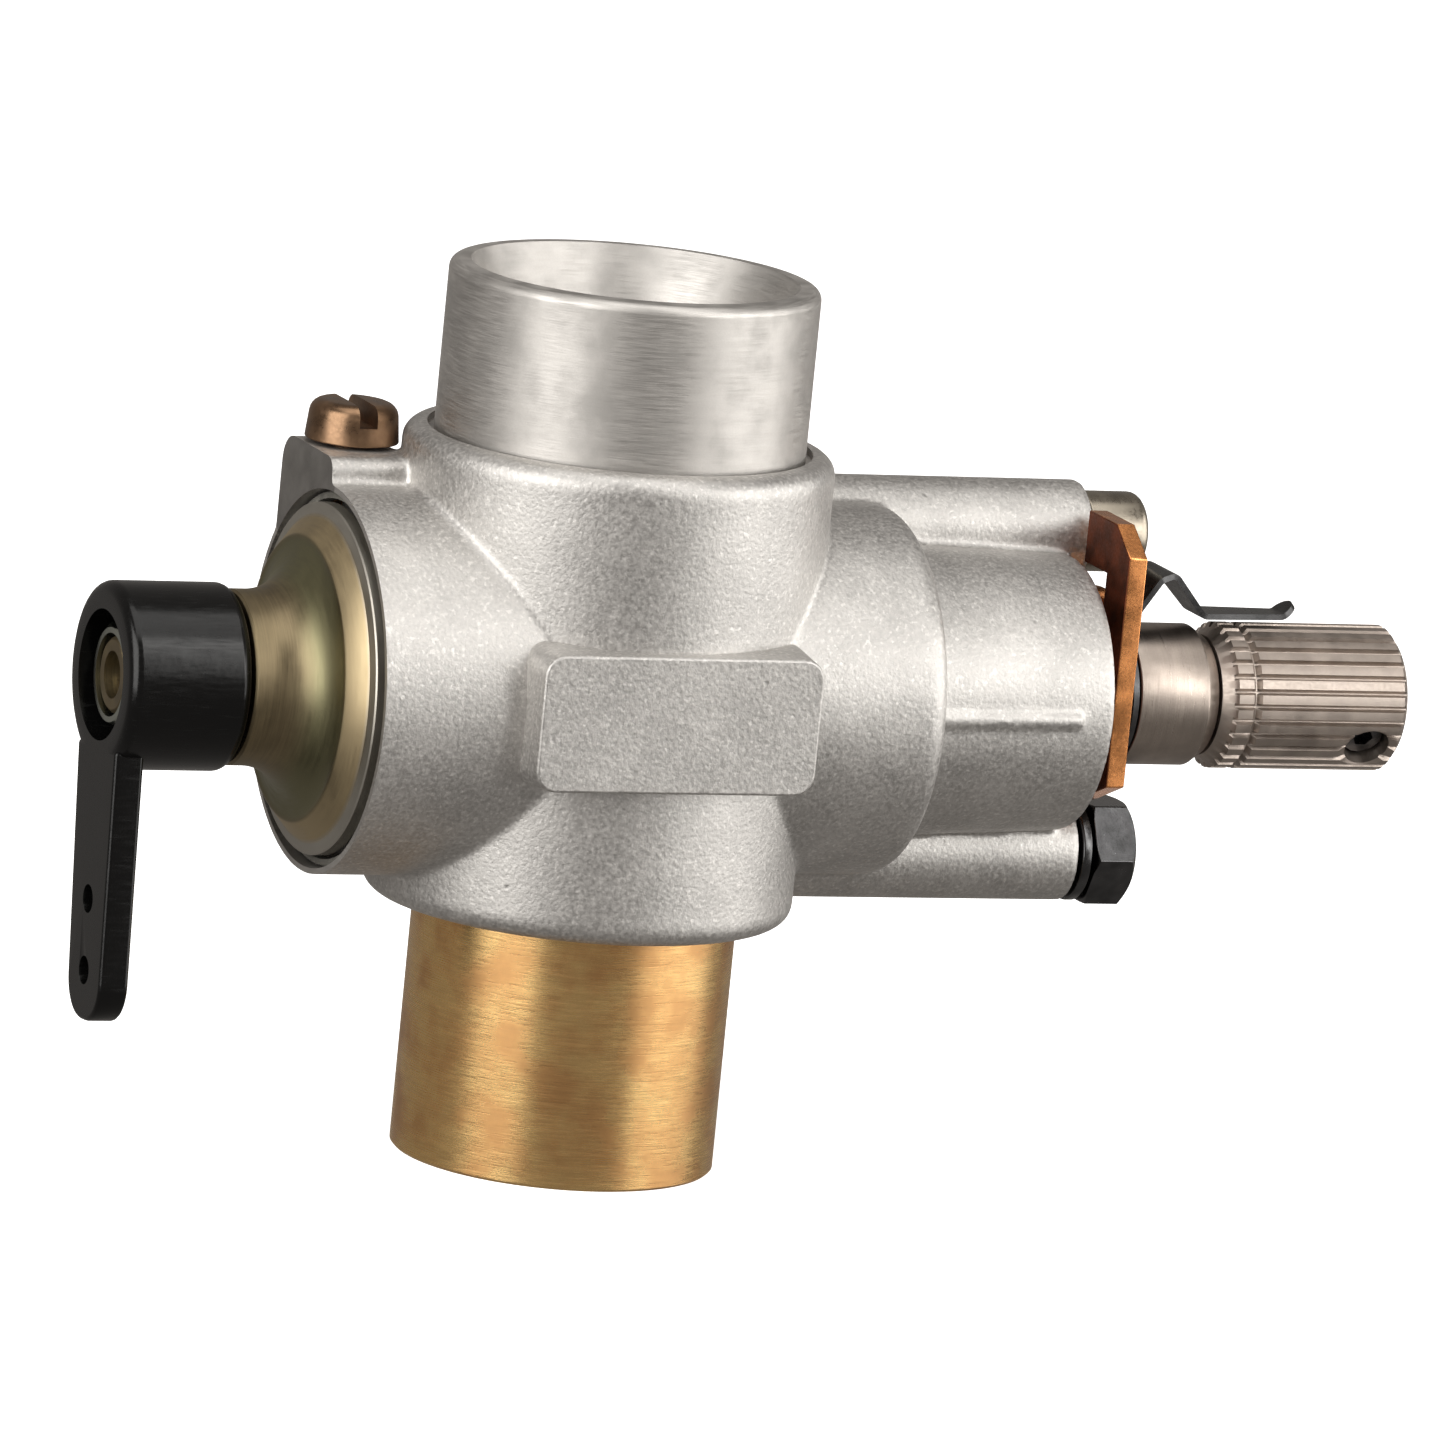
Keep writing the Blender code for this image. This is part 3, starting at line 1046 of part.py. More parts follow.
def fuel_inlet_nipple():
    """Hexagon-collared nipple with one barb, on its gasket."""
    gasket_low = INLET_BOSS_REACH + GAP
    collar_low = gasket_low + GASKET_THICKNESS + GAP
    collar_high = collar_low + INLET_COLLAR
    centre = (0, INLET_X)
    radii = (INLET_STEM_RADIUS + GAP, INLET_BOSS_RADIUS - GAP)
    outline = ring_outline(gasket_low, gasket_low + GASKET_THICKNESS, *radii)
    gasket = turned("nipple_gasket", outline, "Y", centre, SMALL_SEGMENTS)
    finish(gasket, "nipple_gasket_fibre", (0.3, 0.16, 0.1), 0.8, 0.0)
    nipple = prism("fuel_inlet_nipple", hexagon(INLET_FLATS, centre), collar_low, collar_high, "Y")
    stem_low = INLET_BOSS_REACH - INLET_STEM_LENGTH
    stem = rod("nipple_stem", "Y", centre, INLET_STEM_RADIUS, stem_low, collar_low + INLET_COLLAR / 2)
    tube_outline = [
        (collar_high - INLET_COLLAR / 2, 0),
        (collar_high - INLET_COLLAR / 2, INLET_TUBE_RADIUS),
        (INLET_BACK - INLET_BARB_LENGTH - SEAL_GAP, INLET_TUBE_RADIUS),
        (INLET_BACK - INLET_BARB_LENGTH, INLET_BARB_RADIUS),
        (INLET_BACK, INLET_TUBE_RADIUS - SEAL_GAP),
        (INLET_BACK, 0),
    ]
    tube = turned("nipple_tube", tube_outline, "Y", centre, SMALL_SEGMENTS, hidden=True)
    join(nipple, stem, tube)
    bore = rod("nipple_bore", "Y", centre, INLET_BORE, stem_low - OVER, INLET_BACK + OVER, 16)
    cut(nipple, bore)
    finish(nipple, "nipple_brass", (0.66, 0.6, 0.45), 0.3, 1.0)


def main():
    clear_scene()
    place_centre()
    carburettor_body()
    intake_spigot()
    throttle_rotor()
    rotor_dust_seal()
    rotor_spring()
    throttle_lever()
    lever_nut()
    rotor_guide_screw()
    idle_needle()
    spray_nozzle()
    needle_valve_holder()
    holder_gasket()
    retainer_plate()
    brass_washer()
    ratchet_spring()
    needle_valve()
    locating_pin()
    passage_plug()
    fuel_inlet_nipple()


main()
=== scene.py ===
"""Finished look of the barrel carburettor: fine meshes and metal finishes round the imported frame."""

import json
import math

import bmesh
import bpy
from mathutils import Matrix, Vector

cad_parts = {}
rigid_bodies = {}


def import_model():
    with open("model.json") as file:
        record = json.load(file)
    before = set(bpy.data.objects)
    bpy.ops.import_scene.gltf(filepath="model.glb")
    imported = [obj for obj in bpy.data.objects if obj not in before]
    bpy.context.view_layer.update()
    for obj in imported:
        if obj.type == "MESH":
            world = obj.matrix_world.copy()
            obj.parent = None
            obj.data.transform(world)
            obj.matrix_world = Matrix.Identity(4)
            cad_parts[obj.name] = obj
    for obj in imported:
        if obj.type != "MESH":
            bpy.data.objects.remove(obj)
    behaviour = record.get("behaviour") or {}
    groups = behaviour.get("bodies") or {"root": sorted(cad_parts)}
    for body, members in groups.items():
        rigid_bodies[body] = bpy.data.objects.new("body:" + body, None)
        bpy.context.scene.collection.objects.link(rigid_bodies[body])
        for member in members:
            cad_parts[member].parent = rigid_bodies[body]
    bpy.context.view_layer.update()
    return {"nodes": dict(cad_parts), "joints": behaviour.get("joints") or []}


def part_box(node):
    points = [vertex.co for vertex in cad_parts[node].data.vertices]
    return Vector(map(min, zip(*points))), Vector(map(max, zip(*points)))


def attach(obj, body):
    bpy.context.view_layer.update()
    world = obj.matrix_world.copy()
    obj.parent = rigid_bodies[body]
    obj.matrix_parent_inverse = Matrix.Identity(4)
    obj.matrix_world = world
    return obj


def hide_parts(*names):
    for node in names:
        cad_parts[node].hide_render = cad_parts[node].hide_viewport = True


bl_info = {
    "name": "Barrel Carburettor",
    "version": (1, 0, 0),
    "blender": (4, 5, 0),
    "location": "View3D > Sidebar > Carburettor",
    "description": "Builds the finished pieces of a barrel carburettor round its frame",
    "category": "Add Mesh",
}

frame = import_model()

MM = 0.001
ROUND_SEGMENTS = 160
SMALL_SEGMENTS = 64
SHARP_ANGLE = math.radians(32)
OVER = 1.0 * MM  # how far a cutter stands past the face it cuts
SEAT_GAP = 0.15 * MM  # between pieces that seat on or in each other
SLIP = 0.2 * MM  # round what passes through a ring, a plate or the lever's hub
BEHIND = 0.3 * MM  # past the blind end of a hole
SEAL_HALF = 0.55 * MM  # half the width of an O-ring's groove
SEAL_FLOOR = 0.5 * MM  # radius at the floor of an O-ring's groove
SEAL_BACK = 3.6 * MM  # main needle's seal, from the holder's right end
SCREW_THREAD = 2.25 * MM  # guide screw's thread below its head
PORT_HALF = 0.8 * MM  # half the width of the fuel groove round the holder
NEEDLE_ROOM = 1.05 * MM  # bore round the main needle
PORT_RADIUS = 0.5 * MM  # cross holes from the fuel groove into the holder
JET_RADIUS = 0.6 * MM  # bore at the holder's left end
STEM_SEGMENTS = 96
HEXAGON_CORNER = 1 / math.cos(math.radians(30))  # corner radius of a hexagon over half its flats
LAND_SILVER = (0.42, 0.41, 0.38)
# Reddish tint laid in random patches on the brass tube: partly tarnish, partly a painted reflection of warm
# surroundings in the tube's darker bands
SPIGOT_TARNISH_AND_REFLECTION = (0.62, 0.24, 0.09)
NEEDLE_BRASS = (0.55, 0.52, 0.38)
SPRING_WIRE = (0.55, 0.55, 0.55)
NOZZLE_BRASS = (0.8, 0.6, 0.3)
ROOM_LIGHT = (0.24, 0.225, 0.21)
BOX_DISTANCE = 0.5  # of each soft light, metres from the crossing axes
CENTRE = Vector(next(j["pos_m"] for j in frame["joints"] if j["name"] == "throttle_turn"))


def place(node):
    """A frame node's lowest and highest corner, measured from where intake and rotor axes cross."""
    low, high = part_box(node)
    return low - CENTRE, high - CENTRE


BODY_LOW, BODY_HIGH = place("carburettor_body")
SPIGOT_LOW, SPIGOT_HIGH = place("intake_spigot")
ROTOR_LOW, ROTOR_HIGH = place("throttle_rotor")
LEVER_LOW, LEVER_HIGH = place("throttle_lever")
SCREW_LOW, SCREW_HIGH = place("rotor_guide_screw")
HOLDER_LOW, HOLDER_HIGH = place("needle_valve_holder")
PLATE_LOW, PLATE_HIGH = place("retainer_plate")
WASHER_LOW, WASHER_HIGH = place("brass_washer")
LEAF_LOW, LEAF_HIGH = place("ratchet_spring")
KNOB_LOW, KNOB_HIGH = place("needle_valve")
PIN_LOW, PIN_HIGH = place("locating_pin")
PLUG_LOW, PLUG_HIGH = place("passage_plug")
PLUG_WASHER_LOW, PLUG_WASHER_HIGH = place("plug_washer")
NIPPLE_LOW, NIPPLE_HIGH = place("fuel_inlet_nipple")
SEAL_LOW, SEAL_HIGH = place("rotor_dust_seal")
NUT_LOW, NUT_HIGH = place("lever_nut")
IDLE_LOW, IDLE_HIGH = place("idle_needle")
SET_LOW, SET_HIGH = place("needle_set_screw")
SCREW_CENTRE = (SCREW_LOW + SCREW_HIGH) / 2
PIN_CENTRE = (PIN_LOW + PIN_HIGH) / 2
PLUG_CENTRE = (PLUG_WASHER_LOW + PLUG_WASHER_HIGH) / 2
NIPPLE_CENTRE = (NIPPLE_LOW + NIPPLE_HIGH) / 2


def length(millimetres, description):
    """A size that a user can change, in millimetres here and in metres in the scene."""
    return bpy.props.FloatProperty(
        description=description, default=millimetres * MM, min=0, precision=5, unit="LENGTH"
    )


def colour(default, description):
    return bpy.props.FloatVectorProperty(
        description=description, default=default, size=3, min=0, max=1, subtype="COLOR"
    )


def angle(degrees, description):
    return bpy.props.FloatProperty(description=description, default=math.radians(degrees), subtype="ANGLE")


def count(default, description, least=0):
    return bpy.props.IntProperty(description=description, default=default, min=least)


class CastingSizes(bpy.types.PropertyGroup):
    """Sizes of the casting and the tube pressed into it."""

    voxel: length(0.15, "Cell size in which the cast shapes are melted together")
    fillet_rounds: count(4, "Smoothing passes, each widening the cast fillets")
    housing_radius: length(8.2, "Left half of the rotor housing")
    barrel_radius: length(7.9, "Right half of the rotor housing")
    barrel_right: length(13.0, "Right end of the rotor housing, from the intake axis")
    barrel_round: length(0.8, "Round at the barrel's right end")
    needle_end_right: length(21.4, "Right end of the needle end, from the intake axis")
    needle_end_radius: length(5.9, "Needle end at its right")
    needle_end_draft: length(0.35, "How much wider the needle end is at its root")
    rib_radius: length(0.85, "Front rib at its root")
    rib_tip_radius: length(0.3, "Front rib at its right end")
    rib_short: length(1.6, "How far short of the needle end the rib stops")
    tower_radius: length(9.15, "Upright cylinder round the intake")
    tower_round: length(0.8, "Rounds at the shoulder and the skirt")
    shoulder: length(10.6, "Height of the shoulder above the rotor axis")
    collar_radius: length(7.85, "Machined intake collar")
    collar_land: length(0.9, "Width of the rim round the funnel")
    collar_round: length(0.45, "Round at the rim's outer edge")
    collar_groove: length(0.3, "Groove turned at the collar's foot")
    throat_radius: length(4.8, "Air passage at the rotor")
    funnel_depth: length(6.3, "Depth over which the intake narrows")
    bore_radius: length(6.7, "Bore that the rotor turns in")
    bore_floor: length(11.3, "End of the rotor bore, from the intake axis")
    mouth_wall: length(0.25, "Wall left round the wider mouth of the bore")
    mouth_depth: length(1.7, "Depth of the bore's wider mouth")
    end_wall: length(1.9, "Wall between the bore and the needle holder")
    nozzle_hole_radius: length(1.45, "Hole through the end wall")
    holder_bore_radius: length(2.55, "Threaded bore of the needle end")
    pad_width: length(13.2, "Blank pad on the front")
    pad_height: length(6.5, "Blank pad on the front")
    pad_centre: length(0.3, "Height of the pad's middle above the rotor axis")
    pad_corner: length(0.9, "Radius of the pad's corners")
    pad_slope: length(0.35, "How far the pad's sides lean in")
    pad_edge: length(0.12, "Round at the pad's edges")
    ear_length: length(3.65, "Ear along the rotor axis")
    ear_front: length(0.4, "Front face of the ear, behind the rotor axis")
    ear_depth: length(6.0, "Ear from front to back")
    ear_top: length(9.3, "Height of the ear above the rotor axis")
    ear_corner: length(1.2, "Radius of the ear's rear corner")
    boss_radius: length(2.2, "Two bosses beside the needle end")
    inlet_boss_radius: length(2.6, "Boss under the fuel inlet")
    inlet_boss_reach: length(7.2, "Rear face of the inlet boss")
    spigot_wall: length(0.9, "Wall of the brass tube")
    spigot_edge: length(0.12, "Small chamfers at the tube's rims")


class ThrottleSizes(bpy.types.PropertyGroup):
    """Sizes of the rotor, its lever and the screws in them."""

    barrel_radius: length(6.5, "Turning barrel")
    air_bore_radius: length(4.6, "Cross bore of the barrel")
    rest_angle: angle(42, "How far the cross bore is turned from upright at rest")
    flange_left: length(12.75, "Left face of the flange, from the intake axis")
    flange_thickness: length(0.55, "Flange in the housing's mouth")
    flange_land: length(0.55, "Bright land round the flange's bevel")
    bevel_inner: length(6.0, "Inner edge of the flange's bevel")
    bevel_length: length(0.85, "Bevel along the axis")
    neck_radius: length(3.7, "Neck between flange and lever")
    stud_radius: length(1.6, "Stud that carries the lever")
    stud_bore: length(1.0, "Bore for the idle needle")
    chamber_radius: length(1.5, "Chamber of the idle needle's seal")
    chamber_left: length(11.5, "Left end of the chamber, from the intake axis")
    chamber_right: length(7.9, "Right end of the chamber, from the intake axis")
    pocket_radius: length(4.4, "Pocket for the rotor spring")
    pocket_depth: length(3.2, "Pocket for the rotor spring")
    nozzle_room: length(1.65, "Bore round the spray nozzle")
    groove_half: length(0.912, "Helical groove for the guide screw's pin")
    groove_floor: length(5.0, "Radius at the groove's floor")
    lead: length(0.8, "Travel along the axis for each radian turned")
    hub_round: length(0.5, "Rounds at both ends of the lever's hub")
    recess_radius: length(2.75, "Recess for the nut")
    recess_depth: length(1.35, "Recess for the nut")
    arm_thickness: length(1.3, "Hanging arm of the lever")
    arm_top: length(4.7, "Hanging arm of the lever")
    arm_tip: length(3.9, "Hanging arm of the lever")
    arm_length: length(14.5, "From the rotor axis to the arm's tip")
    arm_edge: length(0.18, "Round along the arm's edges")
    arm_hole: length(0.6, "Holes for the pushrod")
    arm_hole_near: length(9.4, "From the rotor axis to the nearer hole")
    arm_hole_far: length(12.4, "From the rotor axis to the farther hole")
    arm_tilt: angle(-5.4, "How far the arm hangs to the front at rest")
    idle_radius: length(0.8, "Idle mixture screw")
    idle_slot: length(0.35, "Slot across the idle screw's end")
    idle_slot_depth: length(0.7, "Slot across the idle screw's end")
    screw_slot: length(0.8, "Slot across the guide screw's head")
    screw_slot_depth: length(0.9, "Slot across the guide screw's head")
    screw_pin: length(0.6, "Pin that runs in the rotor's groove")
    screw_shank: length(1.0, "Threaded shank of the guide screw")


class NeedleSizes(bpy.types.PropertyGroup):
    """Sizes of the needle valve, its holder and what the holder clamps."""

    shoulder_left: length(23.85, "Left end of the holder's shoulder, from the intake axis")
    thread_radius: length(2.35, "Threaded part of the holder")
    chamfer_length: length(0.65, "Chamfer at the shoulder's right end")
    chamfer_depth: length(0.45, "Chamfer at the shoulder's right end")
    holder_bore: length(1.55, "Bore of the needle's seal")
    plate_edge: length(0.09, "Round along the copper plate's edges")
    plate_chamfer_back: length(1.7, "Cut corner at the plate's top")
    plate_chamfer_drop: length(1.15, "Cut corner at the plate's top")
    plate_round: length(4.6, "Rounded side of the plate")
    plate_notch_back: length(-1.9, "Where the plate's hook leaves its rounded side")
    plate_notch_height: length(5.6, "Underside of the plate's hook")
    plate_low_corner: length(3.25, "Lower front corner of the plate, below the rotor axis")
    leaf_thickness: length(0.25, "Ratchet spring")
    leaf_width: length(3.0, "Ratchet spring")
    leaf_tip: length(1.3, "Ratchet spring where it lies over the knob")
    knob_cone_length: length(0.55, "Plain cone at the knob's left end")
    knob_cone_depth: length(0.55, "Plain cone at the knob's left end")
    knob_collar: length(0.9, "Short knurled ring before the groove")
    knurl_depth: length(0.24, "Depth of the knurling")
    knurl_teeth: count(30, "Teeth round the knob", 6)
    needle_radius: length(0.75, "Needle inside the holder")
    end_bore: length(0.95, "Bore in the knob's end")
    end_bore_depth: length(4.2, "Bore in the knob's end")
    cross_hole: length(1.0, "Threaded hole of the set screw")
    cross_hole_angle: angle(35, "How far below the front the hole points at rest")
    plug_flats: length(4.3, "Hexagon plug across its flats")
    plug_stem: length(1.3, "Threaded stem of the plug")
    pin_head: length(0.5, "Round at the locating pin's end")
    pin_stem: length(1.2, "Locating pin inside its boss")
    nipple_flats: length(4.5, "Hexagon of the fuel inlet across its flats")
    nipple_collar: length(1.3, "Thickness of the hexagon")
    nipple_tube: length(1.25, "Tube of the fuel inlet")
    nipple_barb: length(1.6, "Barb that holds the fuel line")
    nipple_bore: length(0.7, "Bore of the fuel inlet")


class Finishes(bpy.types.PropertyGroup):
    """Colours of the metals, the plastic and the rubber."""

    cast: colour((0.56, 0.545, 0.525), "Sand-grained casting")
    machined: colour((0.55, 0.53, 0.505), "Collar, rim and bores")
    spigot: colour((0.87, 0.57, 0.24), "Turned brass tube")
    rotor: colour((0.22, 0.175, 0.105), "Yellow-passivated rotor")
    rotor_olive: colour((0.2, 0.185, 0.105), "Olive tint in the rotor's cove")
    lever: colour((0.002, 0.002, 0.002), "Glossy black lever")
    bright_steel: colour((0.4, 0.42, 0.37), "Nut")
    bronze: colour((0.3, 0.185, 0.11), "Guide screw")
    holder: colour((0.42, 0.36, 0.315), "Needle valve holder")
    copper: colour((0.86, 0.36, 0.13), "Retainer plate")
    # Painted shade: a dark copy of the copper for the plate's flat sides, which lie in shade between plate
    # and body
    tarnish: colour((0.2, 0.06, 0.03), "Flat sides of the retainer plate")
    washer: colour((0.87, 0.73, 0.45), "Washer and fuel inlet")
    black_steel: colour((0.1, 0.1, 0.102), "Spring, plug and set screw")
    knob: colour((0.4, 0.345, 0.305), "Knurled knob")
    pin: colour((0.36, 0.32, 0.26), "Locating pin")
    rubber: colour((0.018, 0.018, 0.018), "Seals")
    dusty_rubber: colour((0.13, 0.125, 0.11), "Dust seal")
    fibre: colour((0.3, 0.16, 0.09), "Gaskets")


class StageSettings(bpy.types.PropertyGroup):
    """Camera, lights and floor."""

    azimuth: angle(22.906, "How far the camera stands to the left of the front")
    elevation: angle(11.245, "How far the camera looks down")
    roll: angle(5.681, "Lean of the camera")
    distance: length(575.57, "From the camera to the plane of the crossing axes")
    aside: length(5.324, "Camera to the right of the crossing axes")
    above: length(1.651, "Camera below the crossing axes")
    lens: bpy.props.FloatProperty(
        description="Focal length on a 36 mm sensor", default=340.0, min=1, unit="CAMERA"
    )
    floor: colour((0.87, 0.87, 0.87), "Plain pale floor")
    light: colour((1.0, 0.985, 0.96), "Tint of the soft lights")


# Materials ------------------------------------------------------------------------------------


class Field:
    """A value that varies over a surface. Its sums, products and powers add Math nodes."""

    def __init__(self, graph, socket):
        self.graph = graph
        self.socket = socket

    def math(self, operation, first, second):
        return self.graph.node("ShaderNodeMath", {"operation": operation}, {0: first, 1: second})

    def __add__(self, other):
        return self.math("ADD", self, other)

    __radd__ = __add__

    def __sub__(self, other):
        return self.math("SUBTRACT", self, other)

    def __rsub__(self, other):
        return self.math("SUBTRACT", other, self)

    def __mul__(self, other):
        return self.math("MULTIPLY", self, other)

    __rmul__ = __mul__

    def __pow__(self, other):
        return self.math("POWER", self, other)


class Graph:
    """A node tree in which every added node comes from one method."""

    def __init__(self, tree):
        self.tree = tree

    def node(self, kind, settings, inputs, output=0):
        """Adds a node: its settings first, then the values or links of its sockets."""
        node = self.tree.nodes.new(kind)
        for key, value in settings.items():
            setattr(node, key, value)
        for key, value in inputs.items():
            if isinstance(value, Field):
                self.tree.links.new(value.socket, node.inputs[key])
            elif isinstance(value, tuple) and node.inputs[key].type == "RGBA":
                node.inputs[key].default_value = (*value, 1)
            else:
                node.inputs[key].default_value = value
        return Field(self, node.outputs[output])


class Finish(Graph):
    """A material under construction: one Principled shader and the nodes that feed it."""

    def __init__(self, name, **constants):
        self.material = bpy.data.materials.new(name)
        self.material.use_nodes = True
        super().__init__(self.material.node_tree)
        self.shader = self.tree.nodes["Principled BSDF"]
        for socket, value in constants.items():
            self.shader.inputs[socket.replace("_", " ").title()].default_value = value
        position = self.node("ShaderNodeTexCoord", {}, {}, "Object")
        self.position = self.vector("SUBTRACT", position, tuple(CENTRE))

    def vector(self, operation, first, second):
        return self.node("ShaderNodeVectorMath", {"operation": operation}, {0: first, 1: second})

    def noise(self, size, detail=2.0, stretch=(1, 1, 1)):
        """Noise whose grains are size metres wide, each axis drawn out by its stretch."""
        scale = tuple(1 / (size * s) for s in stretch)
        at = self.vector("MULTIPLY", self.position, scale)
        return self.node("ShaderNodeTexNoise", {}, {"Vector": at, "Scale": 1.0, "Detail": detail})

    def spots(self, size):
        at = self.vector("MULTIPLY", self.position, (1 / size, 1 / size, 1 / size))
        return self.node("ShaderNodeTexVoronoi", {}, {"Vector": at, "Scale": 1.0}, "Distance")

    def between(self, value, low, high, first=0.0, last=1.0):
        inputs = {"Value": value, "From Min": low, "From Max": high, "To Min": first, "To Max": last}
        return self.node("ShaderNodeMapRange", {"clamp": True}, inputs)

    def mix(self, share, first, second):
        """Two colours mixed by a share; the Mix node's colour sockets are 6, 7 and output 2."""
        return self.node("ShaderNodeMix", {"data_type": "RGBA"}, {0: share, 6: first, 7: second}, 2)

    def bump(self, height, depth):
        inputs = {"Height": height, "Distance": depth, "Strength": 1.0}
        return self.node("ShaderNodeBump", {}, inputs)

    def feed(self, **sockets):
        for socket, value in sockets.items():
            self.tree.links.new(value.socket, self.shader.inputs[socket.replace("_", " ").title()])
        return self.material


def shade_of(shade, factor):
    return tuple(min(1.0, c * factor) for c in shade)


def cast_metal(name, shade):
    """Cast and blasted metal: a fine bright grain, soft clouds and a few pits."""
    finish = Finish(name, metallic=1.0)
    grain = finish.noise(0.17 * MM, 3.0)
    sparkle = finish.between(finish.noise(0.19 * MM, 3.0), 0.56, 0.68)
    clouds = finish.noise(2.6 * MM, 3.0)
    pits = finish.between(finish.spots(2.7 * MM), 0.0, 0.05, 1.0, 0.0)
    tone = finish.between(grain * 0.6 + clouds * 0.4, 0.36, 0.64)
    base = finish.mix(tone, shade_of(shade, 0.78), shade_of(shade, 1.1))
    base = finish.mix(sparkle * 0.5, base, shade_of(shade, 1.45))
    base = finish.mix(pits * 0.5, base, shade_of(shade, 0.45))
    height = grain + finish.noise(0.3 * MM, 1.0) * 0.4 - pits
    roughness = finish.between(grain, 0.35, 0.65, 0.46, 0.58)
    return finish.feed(base_color=base, roughness=roughness, normal=finish.bump(height, 0.02 * MM))


def turned_metal(name, shade, axis, roughness=0.26, tint=None, tint_share=0.5, stain=0.25, lines=1.0):
    """Lathe-turned metal: fine rings round its axis, soft stains and a change of tint."""
    finish = Finish(name, metallic=1.0)
    stretch = {"X": (1, 30, 30), "Y": (30, 1, 30), "Z": (30, 30, 1)}[axis]
    rings = finish.noise(0.04 * MM, 2.0, stretch)
    bands = finish.noise(0.35 * MM, 2.0, stretch)
    stains = finish.noise(1.8 * MM, 4.0)
    dark = finish.between(stains, 0.5, 0.72, 0.0, stain)
    grain = finish.noise(0.07 * MM, 2.0)
    tone = finish.between(rings * 0.4 + bands * 0.3 + grain * 0.3, 0.35, 0.65)
    base = finish.mix(tone, shade_of(shade, 1 - 0.1 * lines), shade_of(shade, 1 + 0.08 * lines))
    base = finish.mix(finish.between(stains, 0.4, 0.66, 0.0, tint_share), base, tint or shade_of(shade, 0.7))
    base = finish.mix(dark, base, shade_of(shade, 0.4))
    rough = finish.between(rings + dark, 0.3, 0.9, roughness * 0.8, roughness * 1.35)
    normal = finish.bump(rings + bands * 0.5 + grain * 0.3, 0.002 * MM * lines)
    return finish.feed(base_color=base, roughness=rough, normal=normal)


def satin_metal(name, shade, roughness=0.3, stain=0.3):
    """Plain or plated metal with faint handling marks."""
    finish = Finish(name, metallic=1.0)
    fine = finish.noise(0.12 * MM, 3.0)
    stains = finish.noise(1.1 * MM, 4.0)
    tone = finish.between(stains, 0.35, 0.65)
    base = finish.mix(tone, shade_of(shade, 1 - stain), shade_of(shade, 1.1))
    rough = finish.between(fine * 0.5 + stains * 0.5, 0.35, 0.65, roughness * 0.75, roughness * 1.3)
    return finish.feed(base_color=base, roughness=rough, normal=finish.bump(fine, 0.0012 * MM))


def moulded_plastic(name, shade):
    """Glossy moulded nylon with a slight ripple and fine scuffs."""
    finish = Finish(name)
    finish.shader.inputs["Specular IOR Level"].default_value = 0.3
    ripple = finish.noise(0.9 * MM, 2.0, (1, 6, 1))
    scuffs = finish.noise(0.12 * MM, 3.0, (9, 1, 1))
    marks = finish.between(scuffs, 0.6, 0.8)
    base = finish.mix(marks, tuple(shade), tuple(c + 0.004 for c in shade))
    rough = finish.between(scuffs, 0.35, 0.75, 0.17, 0.3)
    normal = finish.bump(ripple + scuffs * 0.15, 0.008 * MM)
    return finish.feed(base_color=base, roughness=rough, normal=normal)


def soft_matter(name, shade, grain):
    """Rubber or fibre: matt, with a coarse grain."""
    finish = Finish(name)
    fine = finish.noise(grain, 4.0)
    coarse = finish.noise(grain * 6, 2.0)
    tone = finish.between(fine * 0.5 + coarse * 0.5, 0.35, 0.65)
    base = finish.mix(tone, shade_of(shade, 0.7), shade_of(shade, 1.4))
    rough = finish.between(fine, 0.3, 0.7, 0.55, 0.8)
    return finish.feed(base_color=base, roughness=rough, normal=finish.bump(fine, grain * 0.3))


def rotor_finish(settings):
    """Yellow passivation: olive in the cove, gold on the neck, silver on the outer land, and a painted
    highlight that lightens the bevel.
    """
    finish = Finish("passivated_zinc", metallic=1.0)
    across = finish.vector("MULTIPLY", finish.position, (0, 1, 1))
    radius = finish.node("ShaderNodeVectorMath", {"operation": "LENGTH"}, {0: across}, "Value")
    rings = finish.noise(0.06 * MM, 2.0, (1, 25, 25))
    clouds = finish.noise(1.6 * MM, 3.0)
    inside_bevel = finish.between(radius, 5.7 * MM, 6.15 * MM, 1.0, 0.0)
    olive = inside_bevel * finish.between(radius, 3.75 * MM, 4.6 * MM)
    olive = finish.between(olive + clouds * 0.5, 0.35, 1.1)
    bevel_painted_highlight = finish.between(radius, 5.98 * MM, 6.1 * MM)
    land = finish.between(radius, 6.75 * MM, 6.95 * MM)
    tone = finish.between(rings * 0.5 + clouds * 0.5, 0.35, 0.65)
    base = finish.mix(tone, shade_of(settings.rotor, 0.8), shade_of(settings.rotor, 1.2))
    base = finish.mix(olive, base, tuple(settings.rotor_olive))
    # Painted highlight: from the bevel's inner edge outwards the rotor is painted lighter gold, for the
    # light the bevel catches
    base = finish.mix(bevel_painted_highlight * 0.8, base, shade_of(settings.rotor, 2.2))
    base = finish.mix(land * 0.85, base, LAND_SILVER)
    rough = finish.between(rings + clouds, 0.7, 1.3, 0.38, 0.5)
    return finish.feed(base_color=base, roughness=rough, normal=finish.bump(rings, 0.0015 * MM))


# Meshes ---------------------------------------------------------------------------------------

ALONG = {
    "X": lambda t, a, b: (t, a, b),
    "Y": lambda t, a, b: (b, t, a),
    "Z": lambda t, a, b: (a, b, t),
}


